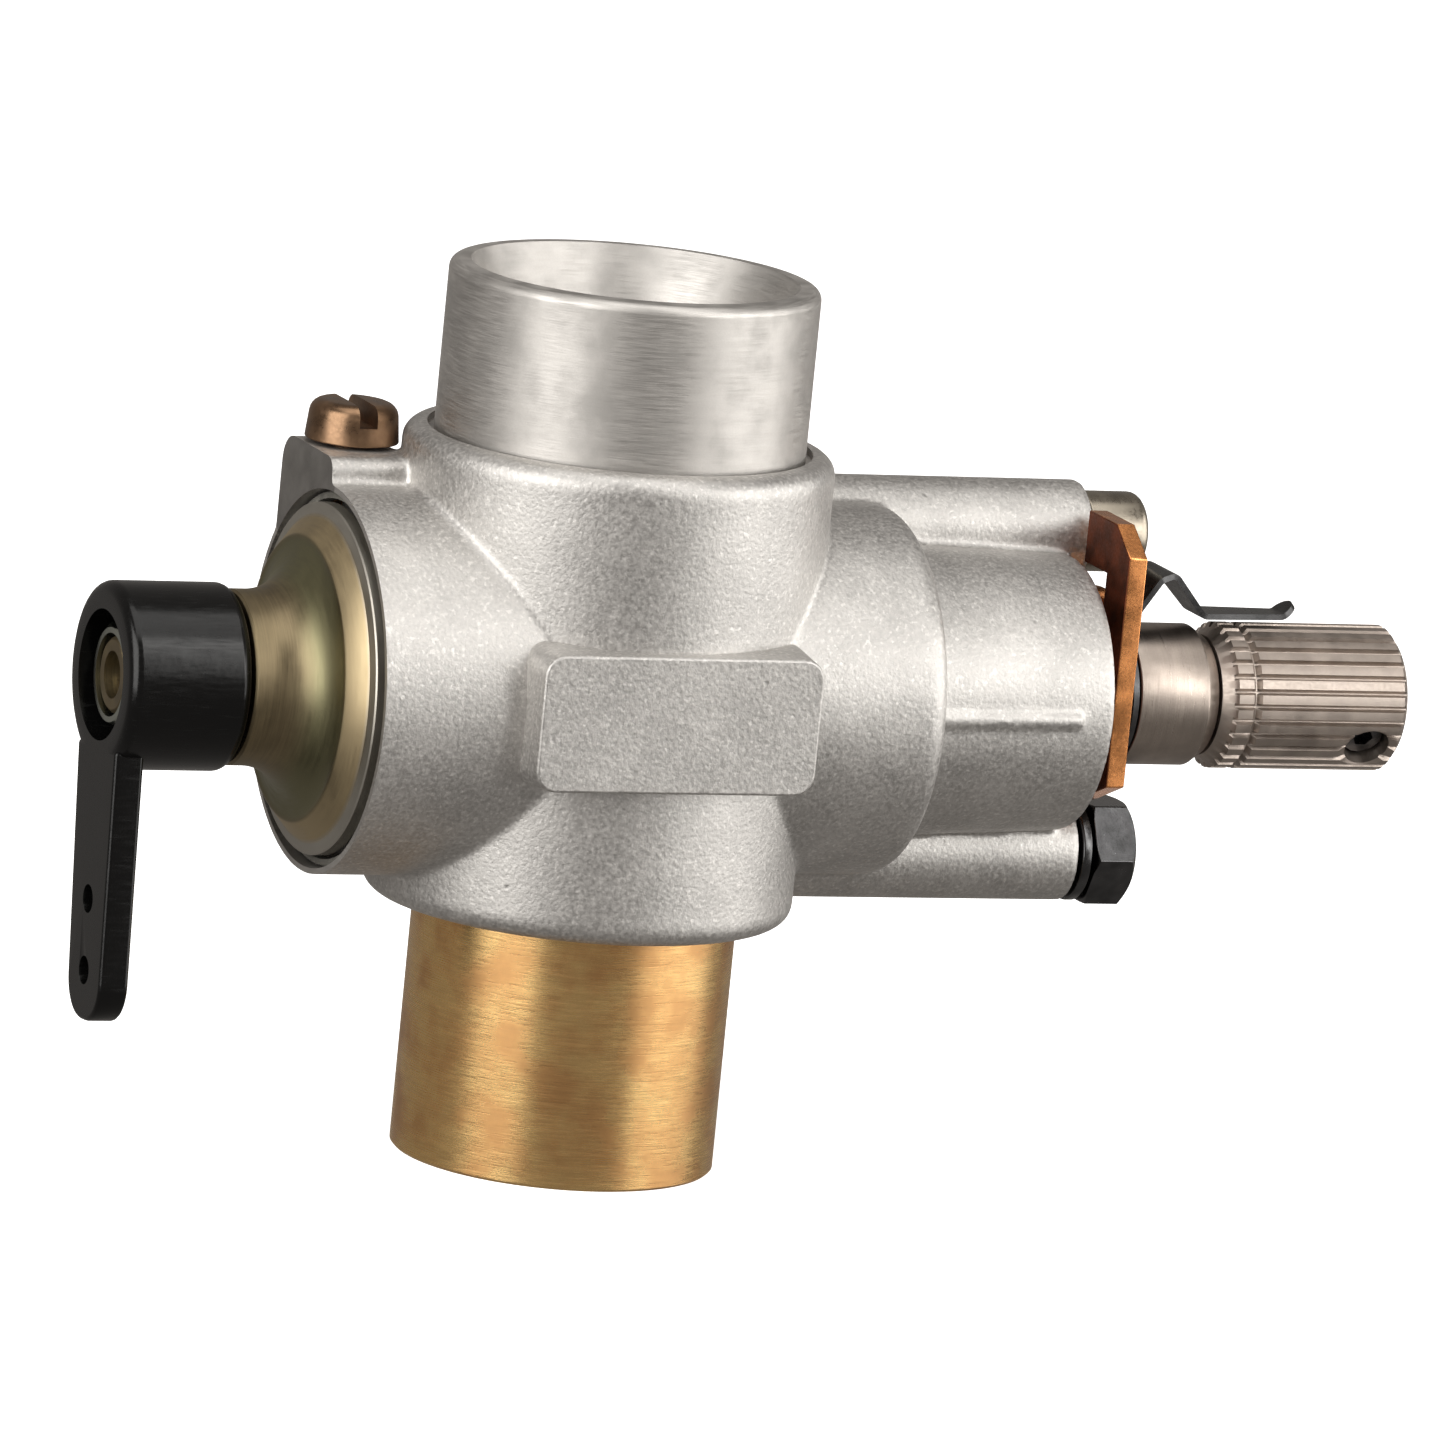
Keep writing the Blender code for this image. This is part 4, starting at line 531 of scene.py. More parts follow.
def rounded(corners, steps=6):
    """Closed outline through (u, v, radius) corners, each with an arc of its own radius."""
    outline = []
    for i, (u, v, radius) in enumerate(corners):
        here = Vector((u, v))
        if radius <= 0:
            outline.append((u, v))
            continue
        back = (Vector(corners[i - 1][:2]) - here).normalized()
        ahead = (Vector(corners[(i + 1) % len(corners)][:2]) - here).normalized()
        half = back.angle(ahead) / 2
        middle = here + (back + ahead).normalized() * (radius / math.sin(half))
        start = here + back * (radius / math.tan(half)) - middle
        end = here + ahead * (radius / math.tan(half)) - middle
        first = math.atan2(start.y, start.x)
        turn = math.atan2(start.x * end.y - start.y * end.x, start.dot(end))
        for k in range(steps + 1):
            at = first + turn * k / steps
            outline.append((middle.x + radius * math.cos(at), middle.y + radius * math.sin(at)))
    return outline


def arc(centre, radius, first, last, steps):
    """Points (u, v) along an arc, angles in degrees."""
    angles = [math.radians(first + (last - first) * k / steps) for k in range(steps + 1)]
    return [(centre[0] + radius * math.cos(a), centre[1] + radius * math.sin(a)) for a in angles]


def solid(name, bm):
    """An object for the mesh, in the frame whose zero is the crossing of the axes."""
    bmesh.ops.recalc_face_normals(bm, faces=bm.faces)
    mesh = bpy.data.meshes.new(name)
    bm.to_mesh(mesh)
    bm.free()
    obj = bpy.data.objects.new(name, mesh)
    bpy.context.collection.objects.link(obj)
    return obj


def turned(name, outline, axis="X", centre=(0, 0), segments=ROUND_SEGMENTS, tooth=None):
    """A solid of revolution: outline is a closed loop of (along, radius)."""
    bm = bmesh.new()
    rings = []
    for along, radius in outline:
        ring = []
        for k in range(segments if radius > 1e-9 else 1):
            at = 2 * math.pi * k / segments
            reach = tooth(along, radius, k) if tooth else radius
            spot = ALONG[axis](along, centre[0] + reach * math.cos(at), centre[1] + reach * math.sin(at))
            ring.append(bm.verts.new(spot))
        rings.append(ring)
    for ring, other in zip(rings, rings[1:] + rings[:1]):
        if len(ring) == 1 and len(other) == 1:
            continue
        for k in range(segments):
            corners = [ring[k % len(ring)], ring[(k + 1) % len(ring)]]
            corners += [other[(k + 1) % len(other)], other[k % len(other)]]
            bm.faces.new(list(dict.fromkeys(corners)))
    return solid(name, bm)


def prism(name, outline, low, high, axis="X", taper=0.0):
    """An outline of (a, b) points drawn along an axis; taper draws the high end in."""
    bm = bmesh.new()
    middle = sum((Vector(p) for p in outline), Vector((0, 0))) / len(outline)
    near = [bm.verts.new(ALONG[axis](low, a, b)) for a, b in outline]
    far = []
    for a, b in outline:
        offset = Vector((a, b)) - middle
        a2, b2 = (math.copysign(max(abs(c) - taper, 0), c) for c in offset)
        far.append(bm.verts.new(ALONG[axis](high, middle.x + a2, middle.y + b2)))
    bm.faces.new(near)
    bm.faces.new(list(reversed(far)))
    for k in range(len(outline)):
        n = (k + 1) % len(outline)
        bm.faces.new([near[n], near[k], far[k], far[n]])
    return solid(name, bm)


def swept(name, sections):
    """A closed bar through sections of four corners each."""
    bm = bmesh.new()
    rings = [[bm.verts.new(spot) for spot in section] for section in sections]
    bm.faces.new(rings[0])
    bm.faces.new(rings[-1][::-1])
    for one, two in zip(rings, rings[1:]):
        for k in range(4):
            n = (k + 1) % 4
            bm.faces.new([one[k], one[n], two[n], two[k]])
    return solid(name, bm)


def washer_ring(name, low, high, bore, outer, edge, centre=(0, 0), segments=ROUND_SEGMENTS):
    """A ring whose outer edges are rounded."""
    outline = [(low, bore, 0), (low, outer, edge), (high, outer, edge), (high, bore, 0)]
    return turned(name, rounded(outline), "X", centre, segments)


def slot(half_a, half_b, low, high, axis="X", centre=(0, 0)):
    """The cutter of a screwdriver slot."""
    corners = [(-half_a, -half_b), (half_a, -half_b), (half_a, half_b), (-half_a, half_b)]
    return prism("slot", [(centre[0] + a, centre[1] + b) for a, b in corners], low, high, axis)


def seal_groove(middle, radius):
    """Outline points of an O-ring's groove in a needle of this radius."""
    low, high = middle - SEAL_HALF, middle + SEAL_HALF
    return [(low, radius), (low, SEAL_FLOOR), (high, SEAL_FLOOR), (high, radius)]


def rod(axis, centre, radius, low, high, segments=SMALL_SEGMENTS, end_radius=None):
    """A plain cylinder or cone, for joining to or cutting from a piece."""
    last = radius if end_radius is None else end_radius
    return turned("rod", [(low, 0), (low, radius), (high, last), (high, 0)], axis, centre, segments)


def hexagon(flats, centre=(0, 0)):
    reach = flats / 2 * HEXAGON_CORNER
    return [
        (centre[0] + reach * math.cos(k * math.pi / 3), centre[1] + reach * math.sin(k * math.pi / 3))
        for k in range(6)
    ]


def settle(obj):
    """Replaces an object's mesh by what its modifiers make of it."""
    graph = bpy.context.evaluated_depsgraph_get()
    made = bpy.data.meshes.new_from_object(obj.evaluated_get(graph))
    obj.modifiers.clear()
    obj.data = made
    return obj


def combine(target, others, operation, solver="MANIFOLD"):
    """Joins the others to the target, cuts them from it or keeps what they share, and removes them."""
    for other in others:
        modifier = target.modifiers.new(operation, "BOOLEAN")
        modifier.operation = operation
        modifier.object = other
        modifier.solver = solver
        settle(target)
        bpy.data.objects.remove(other)
    if not target.data.polygons:
        raise RuntimeError(f"{target.name} has nothing left after {operation}")
    return target


def bevel(obj, width, segments=2, limit=30):
    modifier = obj.modifiers.new("edges", "BEVEL")
    modifier.width = width
    modifier.segments = segments
    modifier.limit_method = "ANGLE"
    modifier.angle_limit = math.radians(limit)
    return settle(obj)


def melted(name, shapes, voxel, rounds):
    """Shapes melted into one casting, whose seams smoothing turns into fillets."""
    bm = bmesh.new()
    for shape in shapes:
        bm.from_mesh(shape.data)
        bpy.data.objects.remove(shape)
    mesh = bpy.data.meshes.new(name)
    bm.to_mesh(mesh)
    bm.free()
    casting = bpy.data.objects.new(name, mesh)
    bpy.context.collection.objects.link(casting)
    remesh = casting.modifiers.new("melt", "REMESH")
    remesh.mode = "VOXEL"
    remesh.voxel_size = voxel
    smooth = casting.modifiers.new("fillets", "SMOOTH")
    smooth.factor = 0.5
    smooth.iterations = rounds
    return settle(casting)


def give(obj, *materials):
    """Gives a piece these materials and no others, its faces in the first of them."""
    obj.data.materials.clear()
    for material in materials:
        obj.data.materials.append(material)
    return obj


def keep(obj, body, slot, *nodes):
    """Puts a finished piece in its place on the frame, standing for these frame nodes."""
    obj.data.transform(Matrix.Translation(CENTRE))
    obj.data.shade_smooth()
    obj.data.set_sharp_from_angle(angle=SHARP_ANGLE)
    weighted = obj.modifiers.new("even_shading", "WEIGHTED_NORMAL")
    weighted.keep_sharp = True
    weighted.weight = 80
    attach(obj, body)
    if nodes:
        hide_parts(*nodes)
    return obj


# Pieces ---------------------------------------------------------------------------------------


def cast_shapes(s):
    """The shapes that are melted into the casting."""
    left = BODY_LOW.x - 0.3 * MM
    boss_right = BODY_HIGH.x
    barrel = [
        (left, 0, 0), (left, s.housing_radius, 0.15 * MM), (0, s.housing_radius, 0),
        (0, s.barrel_radius, 0), (s.barrel_right, s.barrel_radius, s.barrel_round), (s.barrel_right, 0, 0),
    ]
    tower = [
        (BODY_LOW.z, 0, 0), (BODY_LOW.z, s.tower_radius, s.tower_round),
        (s.shoulder, s.tower_radius, s.tower_round), (s.shoulder, 0, 0),
    ]
    needle_end = [
        (OVER, 0, 0), (OVER, s.needle_end_radius + s.needle_end_draft, 0),
        (s.barrel_right, s.needle_end_radius + s.needle_end_draft, 0),
        (s.needle_end_right, s.needle_end_radius, 0.1 * MM), (s.needle_end_right, 0, 0),
    ]
    rib_end = s.needle_end_right - s.rib_short
    shapes = [
        turned("barrel", rounded(barrel)),
        turned("tower", rounded(tower), "Z"),
        turned("needle_end", rounded(needle_end)),
        rod("X", (-s.needle_end_radius, 0), s.rib_radius, OVER, rib_end, 24, s.rib_tip_radius),
        rod("Y", (0, NIPPLE_CENTRE.x), s.inlet_boss_radius, 0, s.inlet_boss_reach),
    ]
    for middle in (PIN_CENTRE, PLUG_CENTRE):
        shapes.append(rod("X", (middle.y, middle.z), s.boss_radius, OVER, boss_right))
    back = s.ear_front + s.ear_depth
    ear = [
        (s.ear_front, s.housing_radius / 2, 0), (back, s.housing_radius / 2, 0),
        (back, s.ear_top, s.ear_corner), (s.ear_front, s.ear_top, s.ear_corner / 2),
    ]
    shapes.append(prism("ear", rounded(ear), left, BODY_LOW.x + s.ear_length))
    return shapes


def pad_shape(s):
    """The blank pad, with leaning sides and rounded edges."""
    half_width = s.pad_width / 2
    low = s.pad_centre - s.pad_height / 2
    high = s.pad_centre + s.pad_height / 2
    corners = [(low, -half_width), (low, half_width), (high, half_width), (high, -half_width)]
    outline = rounded([(z, x, s.pad_corner) for z, x in corners])
    pad = prism("pad", outline, -s.tower_radius / 2, BODY_LOW.y, "Y", taper=s.pad_slope)
    return bevel(pad, s.pad_edge, 3, 40)


def funnel(s):
    """Outline of the air passage, from above the rim down past the rotor."""
    steps = 16
    mouth = s.collar_radius - s.collar_land
    floor = BODY_HIGH.z - s.funnel_depth
    outline = [(BODY_HIGH.z + OVER, 0), (BODY_HIGH.z + OVER, mouth)]
    for k in range(steps + 1):
        t = 1 - k / steps
        outline.append((floor + s.funnel_depth * t, s.throat_radius + (mouth - s.throat_radius) * t**1.4))
    return outline + [(BODY_LOW.z - OVER, s.throat_radius), (BODY_LOW.z - OVER, 0)]


def body_bores(s):
    """The cutters of the casting's machined holes."""
    mouth_radius = s.housing_radius - s.mouth_wall
    seat = s.bore_floor + s.end_wall
    rotor_bore = [
        (BODY_LOW.x - OVER, 0), (BODY_LOW.x - OVER, mouth_radius),
        (BODY_LOW.x + s.mouth_depth, mouth_radius), (BODY_LOW.x + s.mouth_depth, s.bore_radius),
        (s.bore_floor, s.bore_radius), (s.bore_floor, s.nozzle_hole_radius), (seat, s.nozzle_hole_radius),
        (seat, s.holder_bore_radius), (BODY_HIGH.x + OVER, s.holder_bore_radius), (BODY_HIGH.x + OVER, 0),
    ]
    spot = (SCREW_CENTRE.x, SCREW_CENTRE.y)
    screw_hole = [
        (0, 0), (0, 0.8 * MM), (s.ear_top - SCREW_THREAD, 0.8 * MM), (s.ear_top - SCREW_THREAD, 1.15 * MM),
        (s.ear_top, 1.15 * MM), (s.ear_top, 2.2 * MM), (s.ear_top + 2 * MM, 2.2 * MM),
        (s.ear_top + 2 * MM, 0),
    ]
    spigot_radius = SPIGOT_HIGH.x + SEAT_GAP
    return [
        turned("rotor_bore", rotor_bore),
        turned("air_passage", funnel(s), "Z"),
        rod("Z", (0, 0), spigot_radius, BODY_LOW.z - OVER, SPIGOT_HIGH.z + SEAT_GAP, ROUND_SEGMENTS),
        turned("screw_hole", screw_hole, "Z", spot, SMALL_SEGMENTS),
        rod("X", (PIN_CENTRE.y, PIN_CENTRE.z), 1.35 * MM, PIN_LOW.x - BEHIND, BODY_HIGH.x + OVER),
        rod("X", (PLUG_CENTRE.y, PLUG_CENTRE.z), 1.45 * MM, PLUG_LOW.x - BEHIND, BODY_HIGH.x + OVER),
        rod("Y", (0, NIPPLE_CENTRE.x), 1.65 * MM, OVER, s.inlet_boss_reach + OVER),
    ]


def body_collar(s):
    """The machined intake collar, turned from the shoulder up to the rim."""
    outline = [
        (s.shoulder - s.collar_groove - OVER, 0, 0),
        (s.shoulder - s.collar_groove - OVER, s.collar_radius, 0),
        (BODY_HIGH.z, s.collar_radius, s.collar_round), (BODY_HIGH.z, 0, 0),
    ]
    return turned("collar", rounded(outline), "Z")


def collar_groove(s):
    low = s.shoulder - s.collar_groove
    high = s.shoulder + OVER
    outer = s.collar_radius + s.collar_groove
    outline = [(low, s.collar_radius - OVER), (low, outer), (high, outer), (high, s.collar_radius - OVER)]
    return turned("groove", outline, "Z")


class CARB_OT_casting(bpy.types.Operator):
    """Build the cast body with its machined collar and bores, and the brass tube below it"""

    bl_idname = "carb.casting"
    bl_label = "Casting and Spigot"

    def execute(self, context):
        s = context.scene.carb_casting
        finishes = context.scene.carb_finishes
        cast = cast_metal("cast_aluminium_grain", finishes.cast)
        machined = turned_metal("machined_aluminium", finishes.machined, "Z", 0.5, stain=0.1, lines=0.8)
        rough_cut = satin_metal("milled_aluminium", shade_of(finishes.machined, 0.62), 0.36, 0.12)
        casting = melted("body_casting", cast_shapes(s), s.voxel, s.fillet_rounds)
        give(casting, cast, machined, rough_cut)
        reach = 4 * s.tower_radius
        end_cut = rod("X", (0, 0), reach, BODY_LOW.x - reach, BODY_LOW.x)
        pad = pad_shape(s)
        groove = collar_groove(s)
        collar = body_collar(s)
        bores = body_bores(s)
        for cutter, index in [(end_cut, 2), (pad, 0), (groove, 1), (collar, 1)] + [(b, 1) for b in bores]:
            give(cutter, cast, machined, rough_cut)
            for face in cutter.data.polygons:
                face.material_index = index
        combine(casting, [end_cut, groove], "DIFFERENCE")
        combine(casting, [pad, collar], "UNION")
        combine(casting, bores, "DIFFERENCE")
        for face in casting.data.polygons:
            if face.material_index == 2 and math.hypot(face.center.y, face.center.z) < s.housing_radius:
                face.material_index = 1
        keep(casting, "housing", "cast_aluminium", "carburettor_body")

        edge = s.spigot_edge
        outer = SPIGOT_HIGH.x
        inner = outer - s.spigot_wall
        outline = [
            (SPIGOT_LOW.z, inner + edge), (SPIGOT_LOW.z, outer - edge), (SPIGOT_LOW.z + edge, outer),
            (SPIGOT_HIGH.z - edge, outer), (SPIGOT_HIGH.z, outer - edge), (SPIGOT_HIGH.z, inner),
            (SPIGOT_LOW.z + edge, inner),
        ]
        tube = turned("spigot_tube", outline, "Z")
        shade = finishes.spigot
        # The reddish tint stands partly for tarnish and partly for a painted warm reflection
        give(tube, turned_metal("turned_brass", shade, "Z", 0.27, SPIGOT_TARNISH_AND_REFLECTION, 0.5, 0.3, 1.2))
        keep(tube, "housing", "spigot_brass", "intake_spigot")
        return {"FINISHED"}


def guide_groove(s):
    """The helical groove's cutter, round the rotor under the guide screw."""
    steps = 48
    tip = Vector((SCREW_CENTRE.y, SCREW_LOW.z + 0.5 * MM))
    pin_angle = math.atan2(tip.y, tip.x)
    reach = math.radians(58)
    sections = []
    for k in range(steps + 1):
        turn = reach * (2 * k / steps - 1)
        along = SCREW_CENTRE.x + s.lead * turn
        at = pin_angle + turn
        section = []
        high = s.barrel_radius + 0.3 * MM
        for radius, side in ((s.groove_floor, -1), (high, -1), (high, 1), (s.groove_floor, 1)):
            x = along + side * s.groove_half
            section.append((x, radius * math.cos(at), radius * math.sin(at)))
        sections.append(section)
    return swept("guide_groove", sections)


class CARB_OT_rotor(bpy.types.Operator):
    """Build the throttle rotor and the dust seal round its flange"""

    bl_idname = "carb.rotor"
    bl_label = "Throttle Rotor"

    def execute(self, context):
        s = context.scene.carb_throttle
        finishes = context.scene.carb_finishes
        flange_left = -s.flange_left
        flange_radius = ROTOR_HIGH.z
        bevel_left = flange_left - s.bevel_length
        cove = s.bevel_inner - s.neck_radius
        neck_left = LEVER_HIGH.x + SEAT_GAP
        outline = [
            (ROTOR_LOW.x, s.stud_bore), (ROTOR_LOW.x, s.stud_radius - 0.15 * MM),
            (ROTOR_LOW.x + 0.15 * MM, s.stud_radius), (neck_left, s.stud_radius),
            (neck_left, s.neck_radius - 0.1 * MM), (neck_left + 0.1 * MM, s.neck_radius),
            *arc((bevel_left - cove, s.bevel_inner), cove, -90, -4, 20),
            (bevel_left - 0.03 * MM, s.bevel_inner - 0.06 * MM), (bevel_left, s.bevel_inner + 0.04 * MM),
            (flange_left - 0.1 * MM, flange_radius - s.flange_land),
            (flange_left - 0.02 * MM, flange_radius - 0.06 * MM), (flange_left + 0.04 * MM, flange_radius),
            (flange_left + s.flange_thickness, flange_radius),
            (flange_left + s.flange_thickness, s.barrel_radius), (ROTOR_HIGH.x - 0.2 * MM, s.barrel_radius),
            (ROTOR_HIGH.x, s.barrel_radius - 0.2 * MM), (ROTOR_HIGH.x, s.pocket_radius),
            (ROTOR_HIGH.x - s.pocket_depth, s.pocket_radius),
            (ROTOR_HIGH.x - s.pocket_depth, s.nozzle_room), (0, s.nozzle_room), (0, s.stud_bore),
            (-s.chamber_right, s.stud_bore), (-s.chamber_right, s.chamber_radius),
            (-s.chamber_left, s.chamber_radius), (-s.chamber_left, s.stud_bore),
        ]
        rotor = turned("rotor_barrel", outline)
        reach = 2 * s.barrel_radius
        bore = rod("Z", (0, 0), s.air_bore_radius, -reach, reach, ROUND_SEGMENTS)
        bore.data.transform(Matrix.Rotation(s.rest_angle, 4, "X"))
        combine(rotor, [bore, guide_groove(s)], "DIFFERENCE", "EXACT")
        give(rotor, rotor_finish(finishes))
        keep(rotor, "throttle", "zinc_yellow", "throttle_rotor")

        inner = flange_radius + 0.1 * MM
        left = SEAL_LOW.x
        ring = [
            (left, inner + 0.06 * MM, 0), (left, SEAL_HIGH.z, 0.1 * MM),
            (SEAL_HIGH.x, SEAL_HIGH.z, 0.1 * MM), (SEAL_HIGH.x, inner, 0),
        ]
        seal = turned("dust_ring", rounded(ring))
        give(seal, soft_matter("dusty_seal_rubber", finishes.dusty_rubber, 0.12 * MM))
        keep(seal, "rotor_carriage", "seal_rubber", "rotor_dust_seal")
        return {"FINISHED"}


class CARB_OT_lever(bpy.types.Operator):
    """Build the throttle lever with its nut, and the idle needle in the stud"""

    bl_idname = "carb.lever"
    bl_label = "Throttle Lever"

    def execute(self, context):
        s = context.scene.carb_throttle
        finishes = context.scene.carb_finishes
        left, right = LEVER_LOW.x, LEVER_HIGH.x
        hub_radius = LEVER_HIGH.z
        floor = left + s.recess_depth
        hub_outline = [
            (floor, s.stud_radius + SLIP, 0), (floor, s.recess_radius, 0.1 * MM),
            (left, s.recess_radius, 0), (left, s.recess_radius + 0.25 * MM, 0),
            (left, hub_radius, s.hub_round), (right, hub_radius, s.hub_round),
            (right, s.stud_radius + SLIP, 0),
        ]
        lever = turned("lever_and_hub", rounded(hub_outline))
        tip = s.arm_tip / 2
        top = s.arm_top / 2
        root = -(s.recess_radius + 0.2 * MM)
        arm_outline = [
            (-top, root, 0), (-tip, -s.arm_length, tip * 0.92), (tip, -s.arm_length, tip * 0.92),
            (top, root, 0),
        ]
        arm = prism("arm", rounded(arm_outline, 14), left, left + s.arm_thickness)
        bevel(arm, s.arm_edge, 3, 40)
        holes = [
            rod("X", (0, -drop), s.arm_hole, left - OVER, left + s.arm_thickness + OVER)
            for drop in (s.arm_hole_near, s.arm_hole_far)
        ]
        combine(arm, holes, "DIFFERENCE")
        bevel(arm, 0.06 * MM, 2, 60)
        arm.data.transform(Matrix.Rotation(s.arm_tilt, 4, "X"))
        combine(lever, [arm], "UNION")
        give(lever, moulded_plastic("glossy_nylon", finishes.lever))
        keep(lever, "throttle", "lever_nylon", "throttle_lever")

        steel = turned_metal("bright_steel", finishes.bright_steel, "X", 0.22, stain=0.2)
        flats = NUT_HIGH.z - NUT_LOW.z
        nut = prism("stud_nut", hexagon(flats), NUT_LOW.x, NUT_HIGH.x)
        corner = flats / 2 * HEXAGON_CORNER
        cone = [
            (NUT_LOW.x, 0), (NUT_LOW.x, flats / 2 - 0.02 * MM), (NUT_LOW.x + 0.3 * MM, corner),
            (NUT_HIGH.x, corner + 0.01 * MM), (NUT_HIGH.x, 0),
        ]
        combine(nut, [turned("nut_chamfer", cone)], "INTERSECT")
        hole = rod("X", (0, 0), s.stud_radius + SEAT_GAP, NUT_LOW.x - OVER, NUT_HIGH.x + OVER)
        combine(nut, [hole], "DIFFERENCE")
        give(nut, steel)
        keep(nut, "throttle", "nut_steel", "lever_nut")

        seal_x = -(s.chamber_left + s.chamber_right) / 2
        air = s.air_bore_radius
        needle_outline = [
            (IDLE_LOW.x, 0, 0), (IDLE_LOW.x, s.idle_radius, 0.12 * MM),
            *((x, reach, 0) for x, reach in seal_groove(seal_x, s.idle_radius)),
            (-air - s.idle_radius, s.idle_radius, 0), (-air, 0.45 * MM, 0),
            (IDLE_HIGH.x - 1.3 * MM, 0.45 * MM, 0), (IDLE_HIGH.x, 0.15 * MM, 0), (IDLE_HIGH.x, 0, 0),
        ]
        needle = turned("idle_screw", rounded(needle_outline), segments=SMALL_SEGMENTS)
        ends = IDLE_LOW.x - OVER, IDLE_LOW.x + s.idle_slot_depth
        combine(needle, [slot(2 * s.idle_radius, s.idle_slot / 2, *ends)], "DIFFERENCE")
        give(needle, turned_metal("needle_brass", NEEDLE_BRASS, "X", 0.25, stain=0.2))
        keep(needle, "idle_screw", "needle_brass", "idle_needle")
        return {"FINISHED"}


class CARB_OT_guide_screw(bpy.types.Operator):
    """Build the slotted guide screw on the ear"""

    bl_idname = "carb.guide_screw"
    bl_label = "Guide Screw"

    def execute(self, context):
        s = context.scene.carb_throttle
        casting = context.scene.carb_casting
        finishes = context.scene.carb_finishes
        spot = (SCREW_CENTRE.x, SCREW_CENTRE.y)
        seat = casting.ear_top + SEAT_GAP
        head = (SCREW_HIGH.x - SCREW_LOW.x) / 2
        shank_end = seat - SCREW_THREAD
        outline = [
            (SCREW_LOW.z, 0, 0), (SCREW_LOW.z, s.screw_pin, 0.1 * MM), (shank_end, s.screw_pin, 0),
            (shank_end, s.screw_shank, 0), (seat, s.screw_shank, 0), (seat, head, 0.06 * MM),
            (SCREW_HIGH.z - 0.02 * MM, head - 0.16 * MM, 0.6 * MM), (SCREW_HIGH.z, 0, 0),
        ]
        screw = turned("slotted_guide_screw", rounded(outline), "Z", spot, SMALL_SEGMENTS * 2)
        ends = SCREW_HIGH.z - s.screw_slot_depth, SCREW_HIGH.z + OVER
        combine(screw, [slot(s.screw_slot / 2, 2 * head, *ends, "Z", spot)], "DIFFERENCE")
        give(screw, satin_metal("bronze_passivation", finishes.bronze, 0.34, 0.35))
        keep(screw, "housing", "guide_screw_bronze", "rotor_guide_screw")
        return {"FINISHED"}


class CARB_OT_holder(bpy.types.Operator):
    """Build the needle valve holder, the copper plate, the washer and the ratchet spring"""

    bl_idname = "carb.holder"
    bl_label = "Needle Holder and Plate"

    def execute(self, context):
        s = context.scene.carb_needle
        finishes = context.scene.carb_finishes
        radius = HOLDER_HIGH.z
        right = HOLDER_HIGH.x
        port = NIPPLE_CENTRE.x
        shoulder_right = right - s.chamfer_length
        outline = [
            (HOLDER_LOW.x, JET_RADIUS, 0), (HOLDER_LOW.x, s.thread_radius, 0),
            (port - PORT_HALF, s.thread_radius, 0), (port - PORT_HALF, s.thread_radius - 0.5 * MM, 0),
            (port + PORT_HALF, s.thread_radius - 0.5 * MM, 0), (port + PORT_HALF, s.thread_radius, 0),
            (s.shoulder_left, s.thread_radius, 0), (s.shoulder_left, radius, 0.08 * MM),
            (shoulder_right, radius, 0.1 * MM), (right, radius - s.chamfer_depth, 0.1 * MM),
            (right, s.holder_bore, 0), (right - 5.6 * MM, s.holder_bore, 0),
            (right - 5.6 * MM, NEEDLE_ROOM, 0), (HOLDER_LOW.x + 1.2 * MM, NEEDLE_ROOM, 0),
            (HOLDER_LOW.x + 1.2 * MM, JET_RADIUS, 0),
        ]
        holder = turned("valve_holder", rounded(outline))
        reach = 2 * radius
        crossing = (("Y", (0, port)), ("Z", (port, 0)))
        ports = [rod(axis, spot, PORT_RADIUS, -reach, reach, 32) for axis, spot in crossing]
        combine(holder, ports, "DIFFERENCE")
        give(holder, turned_metal("turned_nickel", finishes.holder, "X", 0.34, stain=0.2, lines=1.2))
        keep(holder, "housing", "holder_steel", "needle_valve_holder")

        start = math.degrees(math.acos(s.plate_notch_back / s.plate_round))
        low_corner = s.plate_low_corner
        last = -180 + math.degrees(math.asin((low_corner + 0.85 * MM) / s.plate_round))
        outline = [
            (PLATE_LOW.y, -low_corner), (PLATE_LOW.y, PLATE_HIGH.z - s.plate_chamfer_drop),
            (PLATE_LOW.y + s.plate_chamfer_back, PLATE_HIGH.z), (0.5 * MM, PLATE_HIGH.z),
            (0.5 * MM, s.plate_notch_height), (s.plate_notch_back, s.plate_notch_height),
            *arc((0, 0), s.plate_round, start, last, 60),
        ]
        plate = prism("copper_plate", outline, PLATE_LOW.x, PLATE_HIGH.x)
        ends = PLATE_LOW.x - OVER, PLATE_HIGH.x + OVER
        hole = rod("X", (0, 0), s.thread_radius + SLIP, *ends, ROUND_SEGMENTS)
        combine(plate, [hole], "DIFFERENCE")
        bevel(plate, s.plate_edge, 3, 35)
        shade = finishes.copper
        # Painted shade: faces that face along the rotor axis (the plate's flat sides) get a dark copy of the
        # copper, and the edges keep the bright copper
        tarnish = satin_metal("copper_painted_shade", finishes.tarnish, 0.5, 0.5)
        give(plate, satin_metal("bright_copper", shade, 0.24, 0.3), tarnish)
        for face in plate.data.polygons:
            face.material_index = 1 if abs(face.normal.x) > 0.5 else 0
        keep(plate, "housing", "retainer_copper", "retainer_plate")

        outer = WASHER_HIGH.z
        bore = s.thread_radius + SLIP
        washer = washer_ring("thin_washer", WASHER_LOW.x, WASHER_HIGH.x, bore, outer, 0.06 * MM)
        give(washer, turned_metal("washer_brass", finishes.washer, "X", 0.22, stain=0.1))
        keep(washer, "housing", "washer_brass", "brass_washer")

        leaf = leaf_spring(s)
        give(leaf, satin_metal("blackened_spring_steel", finishes.black_steel, 0.32, 0.4))
        keep(leaf, "housing", "black_steel", "ratchet_spring")
        return {"FINISHED"}


